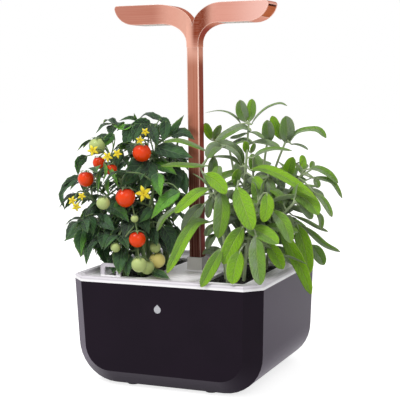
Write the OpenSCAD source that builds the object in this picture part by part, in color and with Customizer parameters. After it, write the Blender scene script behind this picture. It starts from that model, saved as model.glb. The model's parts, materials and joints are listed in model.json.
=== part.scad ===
// Countertop hydroponic garden: a faceted planter with a water tank inside,
// a lift-off deck that holds two plant pods, and a grow lamp on a mast
// that slides up through the middle. Millimetres, +Z up, origin at the
// centre of the footprint on the table.

/* [Planter] */
// Width of the planter at the seam under the deck
body_w = 200; // [190:1:225]
// Depth of the planter at the seam under the deck
body_d = 186; // [182:1:210]
// Height of that seam above the table
seam_z = 105; // [100:1:120]
// Radius of the two long bottom edges
belly_r = 40; // [34:1:44]
// Width of the bevel that runs around the front and rear faces
face_bevel = 15; // [10:0.5:17]
// Inward lean of every wall, in degrees
draft = 2; // [1:0.25:2.5]
// Wall of the outer shell
shell_wall = 3; // [2:0.25:3.5]
// Floor of the outer shell
shell_floor = 4.5; // [4:0.25:5.5]
// Height that the feet hold the shell off the table
foot_h = 1.5; // [1:0.25:2.5]
// Radius of one rubber foot
foot_r = 6; // [5:0.5:7]

/* [Tank] */
// Wall of the water tank
tank_wall = 2; // [1.5:0.25:2.5]
// Gap between the tank and the shell
tank_gap = 2; // [1.5:0.25:3]
// Depth of the dry bay behind the tank
bay_d = 17; // [15:0.5:20]

/* [Deck] */
// Height of the white rim above the seam
rim_h = 5; // [4:0.25:7]
// Flat width of the rim
rim_w = 6; // [5:0.5:8]
// Depth of the deck floor below the rim
deck_sink = 4; // [3:0.25:5]
// Thickness of the deck floor
deck_t = 4; // [3.5:0.25:5]
// Depth of the skirt that drops into the shell
skirt_h = 6; // [4:0.5:8]
// Thickness of the skirt
skirt_t = 2.2; // [1.8:0.1:3]

/* [Pods] */
// Distance from the middle of the garden to the middle of a pod
pod_x = 52; // [50:0.5:54]
// Width of a pod tray across its flange
pod_w = 56; // [50:0.5:58]
// Length of a pod tray across its flange
pod_l = 132; // [122:1:136]
// Width of the flange along each long side
flange_w = 6.5; // [5:0.25:8]
// Thickness of the flange
flange_t = 2; // [1.5:0.25:2.5]
// Wall of the pod tray
pod_wall = 1.5; // [1.2:0.1:2.5]
// Depth of the pod tray below the deck
pod_depth = 58; // [50:1:62]
// Depth of the growing block's top below the deck
block_sink = 3; // [2:0.5:6]
// Width of the lift tab
tab_w = 22; // [18:1:26]
// Height of the lift tab above its flange
tab_h = 13; // [11:0.5:15]

/* [Mast and lamp] */
// Width across the square mast
mast_w = 12.8; // [12:0.2:14]
// Wall of the mast tube
mast_wall = 1.4; // [1.2:0.1:1.8]
// Height of the collar above the deck floor
collar_h = 13.8; // [10:0.2:18]
// Wall of the collar
collar_wall = 1.6; // [1.4:0.1:2.4]
// Height of the lamp's flat top above the table
lamp_top = 376; // [360:1:420]
// Reach of one arm from the middle of the mast
arm_reach = 83.4; // [76:0.2:90]
// Thickness of an arm
arm_t = 19.7; // [17:0.1:22]
// Depth of an arm, front to rear
arm_d = 27.8; // [26:0.1:32]
// Depth of the notch between the two arms
notch_h = 22.5; // [16:0.5:26]
// Height of the bend where an arm leaves the mast
bend_h = 20; // [16:0.5:26]
// Height that the mast can be raised
mast_travel = 50; // [30:1:55]

/* [Fittings] */
// Gap around parts that slide in each other
slide_gap = 0.3; // [0.2:0.05:0.5]
// Gap around a pin or rod that turns or runs in its bore
pin_gap = 0.06; // [0.03:0.01:0.1]
// Gap around parts that are fitted once
seat_gap = 0.15; // [0.05:0.05:0.25]
// Radius of the filler cap's hinge pin
hinge_r = 1.2; // [1:0.1:1.5]
// Radius of the water gauge's rod
rod_r = 2.4; // [2:0.1:3]
// Radius of the float under the gauge
float_r = 9.5; // [8:0.5:10.5]
// Radius of the bore of the power inlet
inlet_r = 2.75; // [2.5:0.05:3.2]
// Radius of the power button
button_r = 4; // [3.5:0.1:5]

/* [Plants] */
// Thickness of a leaf
leaf_t = 1.1; // [0.8:0.1:1.5]
// Width of a sage leaf as a share of its length
sage_leaf_ratio = 0.32; // [0.24:0.01:0.38]
// Width of a tomato leaflet as a share of its length
tomato_leaf_ratio = 0.56; // [0.45:0.01:0.65]

/* [Hidden] */
$fn = 48;
eps = 0.01;
lean = tan(draft);
rim_z = seam_z + rim_h;
floor_z = rim_z - deck_sink;
under_z = floor_z - deck_t;
rim_bevel = 1.4;
deck_slope = 3;
corner_turn = tan(22.5);
arc_steps = 9;
shell_inside = foot_h + shell_floor;
cover_z = foot_h + 2;

// ---- helpers -------------------------------------------------------------

// Solid through a stack of rings with equal point counts, each ring turning
// left as seen from the far end of the stack
module loft(rings) {
  n = len(rings[0]);
  m = len(rings);
  faces = [
    [for (i = [0:n - 1]) i],
    for (r = [0:m - 2], i = [0:n - 1]) let (a = r * n, b = a + n, j = (i + 1) % n) [a + i, b + i, b + j],
    for (r = [0:m - 2], i = [0:n - 1]) let (a = r * n, b = a + n, j = (i + 1) % n) [a + i, b + j, a + j],
    [for (i = [n - 1:-1:0]) (m - 1) * n + i]
  ];
  polyhedron([for (ring = rings) each ring], faces);
}

// Rectangle with round corners, centred
module round_rect(w, l, r) {
  square([w - 2 * r, l], center = true);
  square([w, l - 2 * r], center = true);
  for (x = [-1, 1], y = [-1, 1]) translate([x * (w / 2 - r), y * (l / 2 - r)]) circle(r);
}

// Straight-sided block with round upright corners, standing on z
module round_block(w, l, h, r, z = 0) {
  translate([0, 0, z]) linear_extrude(h) round_rect(w, l, r);
}

// Square bar centred on the z axis
module bar(w, z0, z1) {
  translate([-w / 2, -w / 2, z0]) cube([w, w, z1 - z0]);
}

module rod(r, z0, z1) {
  translate([0, 0, z0]) cylinder(r = r, h = z1 - z0);
}

module at_corners(x, y) {
  for (i = [-1, 1], j = [-1, 1]) translate([i * x, j * y, 0]) children();
}

// ---- planter body --------------------------------------------------------

// One upright outline of the planter, as seen from the front: straight
// leaning sides and two round bottom corners. Its points lean with the
// wall that they lie on
function body_ring(side, back, inset, low, top) =
  let (
    r = belly_r - inset,
    cx = body_w / 2 - (seam_z - foot_h - belly_r) * lean - belly_r,
    cz = low + r,
    half_top = body_w / 2 + (top - seam_z) * lean - inset,
    flat = [
      [-half_top, top], [half_top, top],
      for (i = [0:arc_steps]) let (a = -90 * i / arc_steps) [cx + r * cos(a), cz + r * sin(a)],
      for (i = [0:arc_steps]) let (a = -90 - 90 * i / arc_steps) [-cx + r * cos(a), cz + r * sin(a)]
    ]
  )
  [for (p = flat) [p.x, side * (body_d / 2 - back - (seam_z - p.y) * lean), p.y]];

// The planter's form, pulled in by a wall on every side
module body_form(inset, low, top) {
  face = face_bevel + corner_turn * inset;
  loft([
    body_ring(-1, inset, face, low + face - inset, top),
    body_ring(-1, face, inset, low, top),
    body_ring(1, face, inset, low, top),
    body_ring(1, inset, face, low + face - inset, top)
  ]);
}

foot_x = body_w * 0.21;
foot_y = body_d / 2 - 26;
cover_w = 76;
cover_l = 112;
cover_ledge = 7;
cover_screw_r = 1.5;
cover_screw_x = cover_w / 2 - cover_ledge / 2;
cover_screw_y = cover_l / 2 - cover_ledge / 2;
panel_w = 60;
panel_h = 24;
panel_z = 36;
panel_t = 2.4;
panel_low_z = panel_z - panel_h / 2;
panel_y = body_d / 2 - (seam_z - panel_low_z) * lean - panel_t - 0.2;
panel_ledge = 3;
panel_frame = 3;
panel_back = panel_y - panel_ledge;
badge_x = -3;
badge_z = 82;
badge_r = 3.6;
badge_h = 0.8;
badge_sunk = 0.5;

// Water drop, point upwards
module drop_outline(grow = 0) {
  circle(badge_r + grow);
  rotate(45) square(badge_r + grow);
}

// Stands its child on the leaning front face at the badge
module on_front_face() {
  translate([badge_x, -body_d / 2 + (seam_z - badge_z) * lean, badge_z]) rotate([90 + draft, 0, 0]) children();
}

module outer_shell() {
  color("#2a2026") difference() {
    union() {
      difference() {
        body_form(0, foot_h, seam_z);
        body_form(shell_wall, shell_inside, seam_z + 1);
      }
      translate([-panel_w / 2 - panel_frame, panel_back, panel_low_z - panel_frame])
        cube([panel_w + 2 * panel_frame, panel_ledge + panel_t, panel_h + 2 * panel_frame]);
    }
    translate([0, 0, foot_h - eps]) linear_extrude(cover_z - foot_h + eps) square([cover_w, cover_l], center = true);
    translate([0, 0, foot_h]) linear_extrude(shell_floor + 1)
      square([cover_w - 2 * cover_ledge, cover_l - 2 * cover_ledge], center = true);
    at_corners(cover_screw_x, cover_screw_y) rod(cover_screw_r - 0.3, foot_h, shell_inside + 1);
    at_corners(foot_x, foot_y) rod(foot_r + seat_gap, 0, foot_h + 1);
    translate([-panel_w / 2, panel_y, panel_low_z]) cube([panel_w, 20, panel_h]);
    translate([-panel_w / 2 + panel_ledge, panel_back - 1, panel_low_z + panel_ledge])
      cube([panel_w - 2 * panel_ledge, 20, panel_h - 2 * panel_ledge]);
    on_front_face() translate([0, 0, -badge_sunk]) linear_extrude(4) drop_outline(seat_gap);
  }
}

module bottom_cover() {
  t = cover_z - foot_h;
  color("#1d1a1d") difference() {
    translate([0, 0, foot_h + t / 2]) cube([cover_w - 2 * seat_gap, cover_l - 2 * seat_gap, t], center = true);
    at_corners(cover_screw_x, cover_screw_y) {
      rod(cover_screw_r + 0.2, foot_h - 1, cover_z + 1);
      rod(cover_screw_r * 1.9, foot_h - 1, foot_h + 1);
    }
    for (x = [-1, 1]) translate([x * socket_screw_x, 0, 0]) {
      rod(cover_screw_r + 0.2, foot_h - 1, cover_z + 1);
      rod(cover_screw_r * 1.9, foot_h - 1, foot_h + 1);
    }
  }
}

module rubber_feet() {
  color("#333235") at_corners(foot_x, foot_y) rod(foot_r, 0, foot_h + 1);
}

// Countersunk screw, head down, with a cross recess
module screw_up(z0, length) {
  head_r = cover_screw_r * 1.75;
  difference() {
    union() {
      rod(cover_screw_r - 0.32, z0, z0 + length);
      rod(head_r, z0, z0 + 0.95);
    }
    for (a = [0, 90]) rotate(a) translate([0, 0, z0 + 0.25]) cube([head_r * 1.2, 0.6, 0.52], center = true);
  }
}

module cover_screws() {
  color("#8d9094") {
    at_corners(cover_screw_x, cover_screw_y) screw_up(foot_h + 0.05, shell_floor - 0.3);
    for (x = [-1, 1]) translate([x * socket_screw_x, 0, 0]) screw_up(foot_h + 0.05, 4.6);
  }
}

// Small silver water drop let into the front face
module front_badge() {
  color("#c9c9cc") on_front_face() translate([0, 0, -badge_sunk]) linear_extrude(badge_h) drop_outline();
}

// ---- water tank and mast socket -------------------------------------------

socket_wall = 2.4;
socket_in = mast_w + 2 * slide_gap;
socket_out = socket_in + 2 * socket_wall;
socket_top = under_z - 3.5;
socket_floor = cover_z + 4;
shoe_low = socket_floor + slide_gap;
mast_low = shoe_low + 8;
contact_t = 1.4;
contact_h = 4;
socket_foot = 40;
socket_foot_t = 3;
socket_screw_x = 15.5;
pillar_in = socket_out + 1.2;
tank_inset = shell_wall + tank_gap;
tank_low = shell_inside + tank_gap + 2;
tank_top = seam_z - skirt_h - 0.5;
tank_back = body_d / 2 - shell_wall - bay_d;
rail_w = 4;
rail_t = 1;
rail_low = socket_floor + 1;
rail_high = mast_low + mast_travel;

// Everything in front of the plane y = back
module in_front_of(back) {
  translate([-body_w, back - 2 * body_d, 0]) cube([2 * body_w, 2 * body_d, 2 * seam_z]);
}

module water_tank() {
  pillar_out = pillar_in + 2 * tank_wall;
  color("#3a3d42") difference() {
    union() {
      difference() {
        intersection() {
          body_form(tank_inset, tank_low, tank_top);
          in_front_of(tank_back);
        }
        intersection() {
          body_form(tank_inset + tank_wall, tank_low + tank_wall, tank_top + 1);
          in_front_of(tank_back - tank_wall);
        }
      }
      bar(pillar_out, tank_low + eps, tank_top - 2);
    }
    bar(pillar_in, 0, tank_top + 1);
  }
}

// Square guide tube that the mast slides in, on a screwed foot
module mast_socket() {
  color("#55575c") difference() {
    union() {
      bar(socket_out, cover_z, socket_top);
      translate([0, 0, cover_z + socket_foot_t / 2]) cube([socket_foot, socket_out, socket_foot_t], center = true);
    }
    bar(socket_in, socket_floor, socket_top + 1);
    for (x = [-1, 1]) {
      translate([x * socket_screw_x, 0, 0]) rod(cover_screw_r - 0.3, cover_z - 1, cover_z + socket_foot_t + 1);
      translate([x * (socket_in / 2 + rail_t / 2 - eps), 0, (rail_low + rail_high) / 2])
        cube([rail_t + 2 * eps, rail_w + 0.1, rail_high - rail_low], center = true);
    }
    translate([lead_x, 0, lead_z]) rotate([-90, 0, 0]) cylinder(r = lead_r + 0.3, h = socket_out);
  }
}

// Two brass strips that carry the lamp's current at any height
module contact_rails() {
  color("#b98b3a") for (x = [-1, 1])
    translate([x * (socket_in / 2 + rail_t / 2), 0, (rail_low + rail_high) / 2])
      cube([rail_t - 0.1, rail_w, rail_high - rail_low - 0.2], center = true);
}

// ---- service panel at the rear --------------------------------------------

inlet_x = -14;
button_x = 14;
inlet_len = 11;
inlet_w = 9.6;
board_y = panel_y - inlet_len;
board_t = 1.6;
button_throw = 1.2;
switch_w = 7;
switch_d = 4;
lead_x = -2;
lead_r = 1.3;
lead_z = shell_inside + 2.1;
standoff_x = 22;
control_w = panel_w - 8;
control_h = panel_h - 2;
standoff_screw_l = 7;

// Plate that closes the window, with standoffs for the board inside
module service_panel() {
  color("#232025") difference() {
    union() {
      translate([0, panel_y + panel_t / 2, panel_z])
        cube([panel_w - 2 * seat_gap, panel_t, panel_h - 2 * seat_gap], center = true);
      for (x = [-1, 1]) translate([x * standoff_x, board_y + board_t, panel_z])
        rotate([-90, 0, 0]) cylinder(r = 2.6, h = panel_y - board_y - board_t + 0.5);
    }
    translate([inlet_x, panel_y - 1, panel_z]) rotate([-90, 0, 0]) cylinder(r = inlet_r + 0.6, h = panel_t + 2);
    translate([button_x, panel_y - 1, panel_z]) rotate([-90, 0, 0]) cylinder(r = button_r + slide_gap, h = panel_t + 2);
    for (x = [-1, 1]) translate([x * standoff_x, board_y, panel_z]) rotate([-90, 0, 0])
      cylinder(r = 0.95, h = standoff_screw_l + 1);
  }
}

module control_board() {
  color("#1f5c38") difference() {
    translate([0, board_y + board_t / 2, panel_z]) cube([control_w, board_t, control_h], center = true);
    for (x = [-1, 1]) translate([x * standoff_x, board_y - 1, panel_z]) rotate([-90, 0, 0]) cylinder(r = 1.3, h = 4);
  }
}

module panel_screws() {
  color("#8d9094") for (x = [-1, 1]) translate([x * standoff_x, board_y, panel_z]) {
    rotate([-90, 0, 0]) cylinder(r = 0.94, h = standoff_screw_l);
    rotate([90, 0, 0]) difference() {
      cylinder(r = 2, h = 1.2);
      translate([0, 0, 1]) cube([2.6, 0.5, 1], center = true);
    }
  }
}

// Barrel socket soldered to the board, mouth through the panel
module dc_inlet() {
  body_len = panel_y - board_y - board_t;
  color("#19181a") translate([inlet_x, panel_y, panel_z]) difference() {
    union() {
      translate([0, -body_len / 2, 0]) cube([inlet_w, body_len, inlet_w], center = true);
      rotate([-90, 0, 0]) cylinder(r = inlet_r + 0.5, h = panel_t - 0.2);
    }
    translate([0, -body_len + 2, 0]) rotate([-90, 0, 0]) cylinder(r = inlet_r, h = body_len + 4);
  }
}

module inlet_pin() {
  reach = panel_y - board_y - board_t;
  color("#c9b27a") translate([inlet_x, panel_y - reach + 2, panel_z])
    rotate([-90, 0, 0]) cylinder(r = 1, h = reach - 2);
}

// Sealed push switch whose plunger hole takes the button's stem
module button_switch() {
  color("#3b3b40") difference() {
    translate([button_x, board_y + board_t + switch_d / 2, panel_z]) cube([switch_w, switch_d, switch_w], center = true);
    translate([button_x, board_y + board_t + 1, panel_z]) rotate([-90, 0, 0]) cylinder(r = 1.6 + slide_gap, h = switch_d);
  }
}

module power_button() {
  stem_y = board_y + board_t + switch_d - 0.8;
  color("#6b6a70") {
    translate([button_x, panel_y - 1.6, panel_z]) rotate([-90, 0, 0]) difference() {
      cylinder(r = button_r, h = panel_t + 2.6);
      translate([0, 0, panel_t + 2.6]) sphere(r = 1.2);
    }
    translate([button_x, panel_y - 2.4, panel_z]) rotate([-90, 0, 0]) cylinder(r = button_r + 1, h = 0.8 + eps);
    translate([button_x, stem_y, panel_z]) rotate([-90, 0, 0]) cylinder(r = 1.6, h = panel_y - 2.4 - stem_y + eps);
  }
}

// Two-core lead from the board, under the tank, into the mast socket
lead_path = [
  [lead_x, board_y - lead_r, panel_z - 6],
  [lead_x, board_y - lead_r, lead_z + 2.4],
  [lead_x, board_y - lead_r - 1.9, lead_z],
  [lead_x, socket_in / 2 + 0.4, lead_z]
];

module base_lead() {
  color("#26262b") {
    for (i = [0:len(lead_path) - 2]) {
      a = lead_path[i];
      b = lead_path[i + 1];
      d = b - a;
      translate(a) rotate([0, acos(d.z / norm(d)), atan2(d.y, d.x)]) cylinder(r = lead_r, h = norm(d), $fn = 20);
    }
    for (i = [1, 2]) translate(lead_path[i]) sphere(r = lead_r + 0.06, $fn = 20);
  }
}

// ---- deck -----------------------------------------------------------------

// Plan outline of the deck, turning left, pulled in by inset
function plan_ring(inset, z) =
  let (
    a = body_w / 2 - inset,
    b = body_d / 2 - inset,
    c = face_bevel - inset * (2 - sqrt(2))
  )
  [[-a + c, -b, z], [a - c, -b, z], [a, -b + c, z], [a, b - c, z],
   [a - c, b, z], [-a + c, b, z], [-a, b - c, z], [-a, -b + c, z]];

function flat(ring) = [for (p = ring) [p.x, p.y]];

skirt_inset = shell_wall + slide_gap + skirt_h * lean;
boss_w = socket_out + 2;
cap_w = 46;
cap_l = 21;
cap_y = body_d / 2 - 21.5;
hole_w = cap_w - 10;
hole_l = 12;
hole_y = cap_y - 1;
cap_base = rim_z + 1;
cap_t = 3;
hinge_y = cap_y + cap_l / 2 + 0.6;
hinge_z = cap_base + 2.4;
knuckle_r = 2.2;
gauge_y = 36;
guide_r = 5;
guide_low = under_z - 18;
guide_top = floor_z + 3;
pod_gap = 0.3;
pod_corner = 4;

// Slot for one pod: a recess for the flange and a hole for the tray
module pod_slot() {
  translate([0, 0, floor_z - flange_t]) linear_extrude(20) round_rect(pod_w + 2 * pod_gap, pod_l + 2 * pod_gap, pod_corner);
  translate([0, 0, under_z - 1]) linear_extrude(20)
    round_rect(pod_w - 2 * flange_w + 2 * pod_wall + 2 * pod_gap, pod_l - flange_w, 5);
}

module deck() {
  color("#f3ecf4") difference() {
    union() {
      difference() {
        loft([plan_ring(0, seam_z), plan_ring(0, rim_z - rim_bevel), plan_ring(rim_bevel, rim_z)]);
        loft([plan_ring(rim_bevel + rim_w + deck_slope, floor_z), plan_ring(rim_bevel + rim_w, rim_z + eps)]);
      }
      translate([0, 0, seam_z - skirt_h]) linear_extrude(skirt_h + eps) polygon(flat(plan_ring(skirt_inset, 0)));
      bar(boss_w, under_z, floor_z + 1.2);
      translate([0, cap_y, floor_z - 1]) linear_extrude(cap_base - floor_z + 1) round_rect(cap_w, cap_l, 3);
      for (x = [-1, 1]) translate([x * (cap_w / 2 - 3), hinge_y, hinge_z]) rotate([0, 90, 0]) {
        cylinder(r = knuckle_r, h = 4, center = true);
        translate([(hinge_z - rim_z) / 2 + 0.5, 0, 0]) cube([hinge_z - rim_z + 1, 2 * knuckle_r, 4], center = true);
      }
    }
    translate([0, 0, seam_z - skirt_h - 1]) linear_extrude(under_z - seam_z + skirt_h + 1)
      polygon(flat(plan_ring(skirt_inset + skirt_t, 0)));
    for (x = [-1, 1]) translate([x * pod_x, 0, 0]) pod_slot();
    bar(collar_out + 2 * seat_gap, under_z - 1, floor_z + 5);
    translate([0, hole_y, under_z - 1]) linear_extrude(30) round_rect(hole_w, hole_l, 2);
    translate([0, gauge_y, 0]) rod(guide_r, under_z - 1, floor_z + 1);
    translate([-cap_w, hinge_y, hinge_z]) rotate([0, 90, 0]) cylinder(r = hinge_r + seat_gap, h = 2 * cap_w);
  }
}

collar_in = mast_w + 2 * slide_gap;
collar_out = collar_in + 2 * collar_wall;

module mast_collar() {
  color("#b9b8b6") difference() {
    union() {
      bar(collar_out, under_z - 2.5, floor_z + collar_h);
      bar(collar_out + 5, under_z - 2.5, under_z);
    }
    bar(collar_in, under_z - 3, floor_z + collar_h + 1);
  }
}

// Bushing that guides the water gauge's rod through the deck
module gauge_guide() {
  color("#dcd7dd") translate([0, gauge_y, 0]) difference() {
    union() {
      rod(guide_r, guide_low, guide_top);
      rod(guide_r + 3, floor_z, floor_z + 1.2);
    }
    rod(rod_r + pin_gap, guide_low - 1, guide_top + 1);
  }
}

module hinge_pin() {
  len = cap_w - 1;
  color("#a9abb0") translate([-len / 2, hinge_y, hinge_z]) rotate([0, 90, 0]) cylinder(r = hinge_r, h = len);
}

// Flap over the filler hole, with a thumb lip and a plug ring beneath
module filler_cap() {
  gap = 0.5;
  barrel = cap_w - 2 * 5 - 2 * gap;
  color("#f6f1f7") difference() {
    union() {
      translate([0, cap_y - 1, cap_base + 0.2]) linear_extrude(cap_t) round_rect(cap_w, cap_l - 2, 3);
      translate([0, cap_y - cap_l / 2 - 0.6, cap_base + 1.4]) linear_extrude(1.6) round_rect(16, 5, 1.5);
      difference() {
        translate([0, hole_y, cap_base - 3]) linear_extrude(3.5) round_rect(hole_w - 2, hole_l - 2, 1.5);
        translate([0, hole_y, cap_base - 4]) linear_extrude(4) round_rect(hole_w - 5, hole_l - 5, 1);
      }
      translate([-barrel / 2, hinge_y, hinge_z]) rotate([0, 90, 0]) cylinder(r = knuckle_r, h = barrel);
      translate([-barrel / 2, hinge_y - 3.4, cap_base + 0.2]) cube([barrel, 3.4, cap_t]);
    }
    for (x = [-1, 1]) translate([x * (cap_w / 2 - 3), hinge_y, hinge_z])
      cube([4 + 2 * gap, 2 * knuckle_r + 2 * gap, 20], center = true);
    translate([-cap_w, hinge_y, hinge_z]) rotate([0, 90, 0]) cylinder(r = hinge_r + pin_gap, h = 2 * cap_w);
  }
}

// ---- water gauge ----------------------------------------------------------

float_low = tank_low + tank_wall + 8;
float_h = 20;
head_r = rod_r + 1.4;

module float_bulb() {
  color("#e8e4d8") translate([0, gauge_y, 0]) difference() {
    union() {
      rod(float_r, float_low + 1, float_low + float_h - 1);
      rod(float_r - 1, float_low, float_low + float_h);
    }
    rod(rod_r, float_low + float_h - 6, float_low + float_h + 1);
  }
}

// Rod that rises with the water; its red head rests on the guide
module gauge_rod() {
  color("#c8332c") translate([0, gauge_y, 0]) {
    rod(rod_r, float_low + float_h - 6, guide_top + 1);
    rod(head_r, guide_top, guide_top + 3);
  }
}

// ---- pods -----------------------------------------------------------------

tray_w = pod_w - 2 * flange_w + 2 * pod_wall;
tray_l = pod_l - flange_w - 2 * pod_gap - 1;
tray_in_w = tray_w - 2 * pod_wall;
tray_in_l = tray_l - 2 * pod_wall;
tray_low = floor_z - pod_depth;
block_low = tray_low + pod_wall;
soil_z = floor_z - block_sink;
wick_w = 22;
wick_t = 3;
wick_low = tank_low + tank_wall + 2;
wick_top = block_low + 14;
tab_t = 2.6;
tab_x = -pod_w / 2 + tab_w / 2 + 2;

// Basket with a flange that hangs in the deck, slots in its floor and an
// arched lift tab at one end: the left basket has it at the front, the right
// one at the rear
module pod_tray() {
  arch_r = tab_w / 2 - 4.5;
  color("#f2ecf2") difference() {
    union() {
      round_block(pod_w, pod_l, flange_t, pod_corner - pod_gap, floor_z - flange_t);
      round_block(tray_w, tray_l, floor_z - tray_low - 0.5, 5, tray_low);
      translate([tab_x, -pod_l / 2 + tab_t + 0.7, floor_z - 1]) rotate([90, 0, 0])
        linear_extrude(tab_t) {
          translate([0, (tab_h - 4) / 2 + 0.5]) square([tab_w, tab_h - 3], center = true);
          translate([0, tab_h - 2]) square([tab_w - 6, 6], center = true);
          for (x = [-1, 1]) translate([x * (tab_w / 2 - 3), tab_h - 2]) circle(3);
        }
    }
    round_block(tray_in_w, tray_in_l, pod_depth + 10, 4, block_low);
    translate([tab_x, -pod_l / 2 + tab_t + 1.7, floor_z + 1]) rotate([90, 0, 0])
      linear_extrude(tab_t + 2) {
        translate([-arch_r, 0]) square([2 * arch_r, tab_h - 4.5 - arch_r / 2]);
        translate([0, tab_h - 4.5 - arch_r / 2]) intersection() {
          circle(arch_r);
          translate([-arch_r, 0]) square([2 * arch_r, arch_r / 2]);
        }
      }
    translate([0, 0, tray_low - 1]) linear_extrude(4) square([wick_w + 0.6, wick_t + 0.6], center = true);
    for (x = [-1, 1], y = [-2:2]) if (y != 0)
      translate([x * tray_in_w / 4, y * tray_in_l / 6, tray_low - 1]) linear_extrude(4) square([9, 3.5], center = true);
  }
}

// Block of growing medium with a pocket for the wick
module growing_block() {
  color("#2b211b") difference() {
    round_block(tray_in_w - 2 * seat_gap, tray_in_l - 2 * seat_gap, soil_z - block_low, 4, block_low);
    translate([0, 0, block_low - 1]) linear_extrude(wick_top - block_low + 1) square([wick_w, wick_t], center = true);
  }
}

module wick() {
  color("#e7e2d6") translate([-wick_w / 2, -wick_t / 2, wick_low]) cube([wick_w, wick_t, wick_top - wick_low]);
}

module on_left() { translate([-pod_x, 0, 0]) children(); }
module on_right() { translate([pod_x, 0, 0]) children(); }

// ---- mast and lamp --------------------------------------------------------

neck_z = lamp_top - arm_t - bend_h - 3.5;
arm_low = lamp_top - arm_t;
bend_x = 29;
notch_x = 35;
tip_x = 22;
tip_r = 3;
flare_x = 32;
curve_steps = 10;
shoe_h = 26;
spigot = 12;
cable_r = 1.4;
cable_top = lamp_top - notch_h - 11;
light_x0 = 30;
light_x1 = arm_reach - tip_x - 1;
light_w = arm_d - 5;
board_w = light_w - 3;
board_z = arm_low + 7.5;
lens_t = 1.6;
led_count = 3;
cap_in = 2.2;

// Half of the lamp seen from the front: neck, bend, arm, slanted tip
function lamp_half(inset = 0) =
  let (
    m = mast_w / 2,
    span = bend_x - m,
    low = neck_z + 3.5
  )
  [
    [0, neck_z], [m, neck_z],
    for (i = [0:curve_steps]) let (a = 180 - 90 * i / curve_steps) [bend_x + span * cos(a), low + bend_h * sin(a)],
    for (i = [0:curve_steps - 1]) let (a = -90 + 90 * i / curve_steps)
      [arm_reach - inset - tip_x + tip_x * cos(a), lamp_top + arm_t * sin(a)],
    for (a = [30, 60, 90]) [arm_reach - inset - tip_r - 0.3 + tip_r * cos(a), lamp_top - tip_r + tip_r * sin(a)],
    for (i = [0:curve_steps]) let (a = 90 + 90 * i / curve_steps)
      [notch_x + notch_x * cos(a), lamp_top - notch_h + notch_h * sin(a)]
  ];

// Lamp from above: as deep as the mast in the middle, flaring to the arms
function flare(x) =
  let (t = min(1, max(0, (x - mast_w / 4) / (flare_x - mast_w / 4))))
  mast_w / 2 + (arm_d - mast_w) / 2 * (1 - cos(180 * t)) / 2;

plan_half = [for (i = [0:curve_steps]) let (x = flare_x * i / curve_steps) [x, flare(x)]];

module lamp_plan(grow = 0) {
  pts = concat(plan_half, [[arm_reach + 5, arm_d / 2]]);
  n = len(pts);
  for (s = [0, 1]) mirror([s, 0])
    polygon(concat([for (p = pts) [p.x, p.y + grow]], [for (i = [n - 1:-1:0]) [pts[i].x, -pts[i].y - grow]]));
}

module lamp_front() {
  for (s = [0, 1]) mirror([s, 0]) polygon(lamp_half());
}

module lamp_block() {
  intersection() {
    translate([0, arm_d, 0]) rotate([90, 0, 0]) linear_extrude(2 * arm_d) lamp_front();
    translate([0, 0, neck_z - 1]) linear_extrude(lamp_top - neck_z + 2) lamp_plan();
  }
}

// Space for the light in one arm, open below and stopped short of the tip
module light_pocket() {
  translate([light_x0, -light_w / 2, arm_low - 1]) cube([light_x1 - light_x0, light_w, 1 + lens_t]);
  translate([light_x0 + 1.5, -board_w / 2, arm_low]) cube([light_x1 - light_x0 - 3, board_w, arm_t - 5]);
}

// Way for the lamp's leads, from the neck around the bend into one arm
module lead_way() {
  bend = [13, lamp_top - 16.5];
  low = cable_top - 3;
  first = [bend.x, bend.y - low];
  translate([0, 0, low]) rotate([0, atan2(first.x, first.y), 0])
    cylinder(r = cable_r + 0.6, h = norm(first) + 1, $fn = 24);
  translate([bend.x, 0, bend.y]) rotate([0, 72, 0]) cylinder(r = cable_r + 0.6, h = light_x0 + 3 - bend.x, $fn = 24);
}

// Recess in the slanted end of an arm, made smaller all around by gap
module cap_pocket(gap = 0) {
  translate([arm_reach - 9 + gap, -arm_d / 2 + cap_in + gap, arm_low + 4.5 + gap])
    cube([20, arm_d - 2 * cap_in - 2 * gap, arm_t - 8 - 2 * gap]);
}

module lamp_housing() {
  color("#d08a72") difference() {
    union() {
      lamp_block();
      bar(mast_w - 2 * mast_wall - 2 * seat_gap, neck_z - spigot, neck_z + eps);
    }
    for (s = [0, 1]) mirror([s, 0, 0]) {
      light_pocket();
      cap_pocket();
      lead_way();
      for (x = [light_x0 + 6, light_x1 - 6]) translate([x, 0, 0]) rod(0.95, board_z, arm_low + arm_t - 2.5);
    }
    rod(cable_r + 0.8, neck_z - spigot - 1, cable_top, $fn = 24);
  }
}

// Insert in the arm's slanted end, below a dark air slit
module end_cap() {
  color("#b8664c") difference() {
    intersection() {
      lamp_block();
      cap_pocket(seat_gap);
    }
    translate([arm_reach - 30, -arm_d, lamp_top - 5.2]) cube([60, 2 * arm_d, 4]);
  }
}

module led_board() {
  color("#eef0ee") difference() {
    translate([light_x0 + 2, -board_w / 2 + 0.5, board_z - 1.6]) cube([light_x1 - light_x0 - 4, board_w - 1, 1.6]);
    for (x = [light_x0 + 6, light_x1 - 6]) translate([x, 0, 0]) rod(1.2, board_z - 3, board_z + 1);
  }
}

module leds() {
  first = light_x0 + 9.5;
  step = (light_x1 - 9.5 - first) / (led_count - 1);
  color("#f6d860") for (i = [0:led_count - 1], y = [-1, 1])
    translate([first + i * step, y * board_w / 4, board_z - 1.6 - 0.4]) cube([3, 3, 0.8], center = true);
}

module diffuser() {
  color("#f4f4ee") translate([light_x0 + seat_gap, -light_w / 2 + seat_gap, arm_low])
    cube([light_x1 - light_x0 - 2 * seat_gap, light_w - 2 * seat_gap, lens_t]);
}

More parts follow.
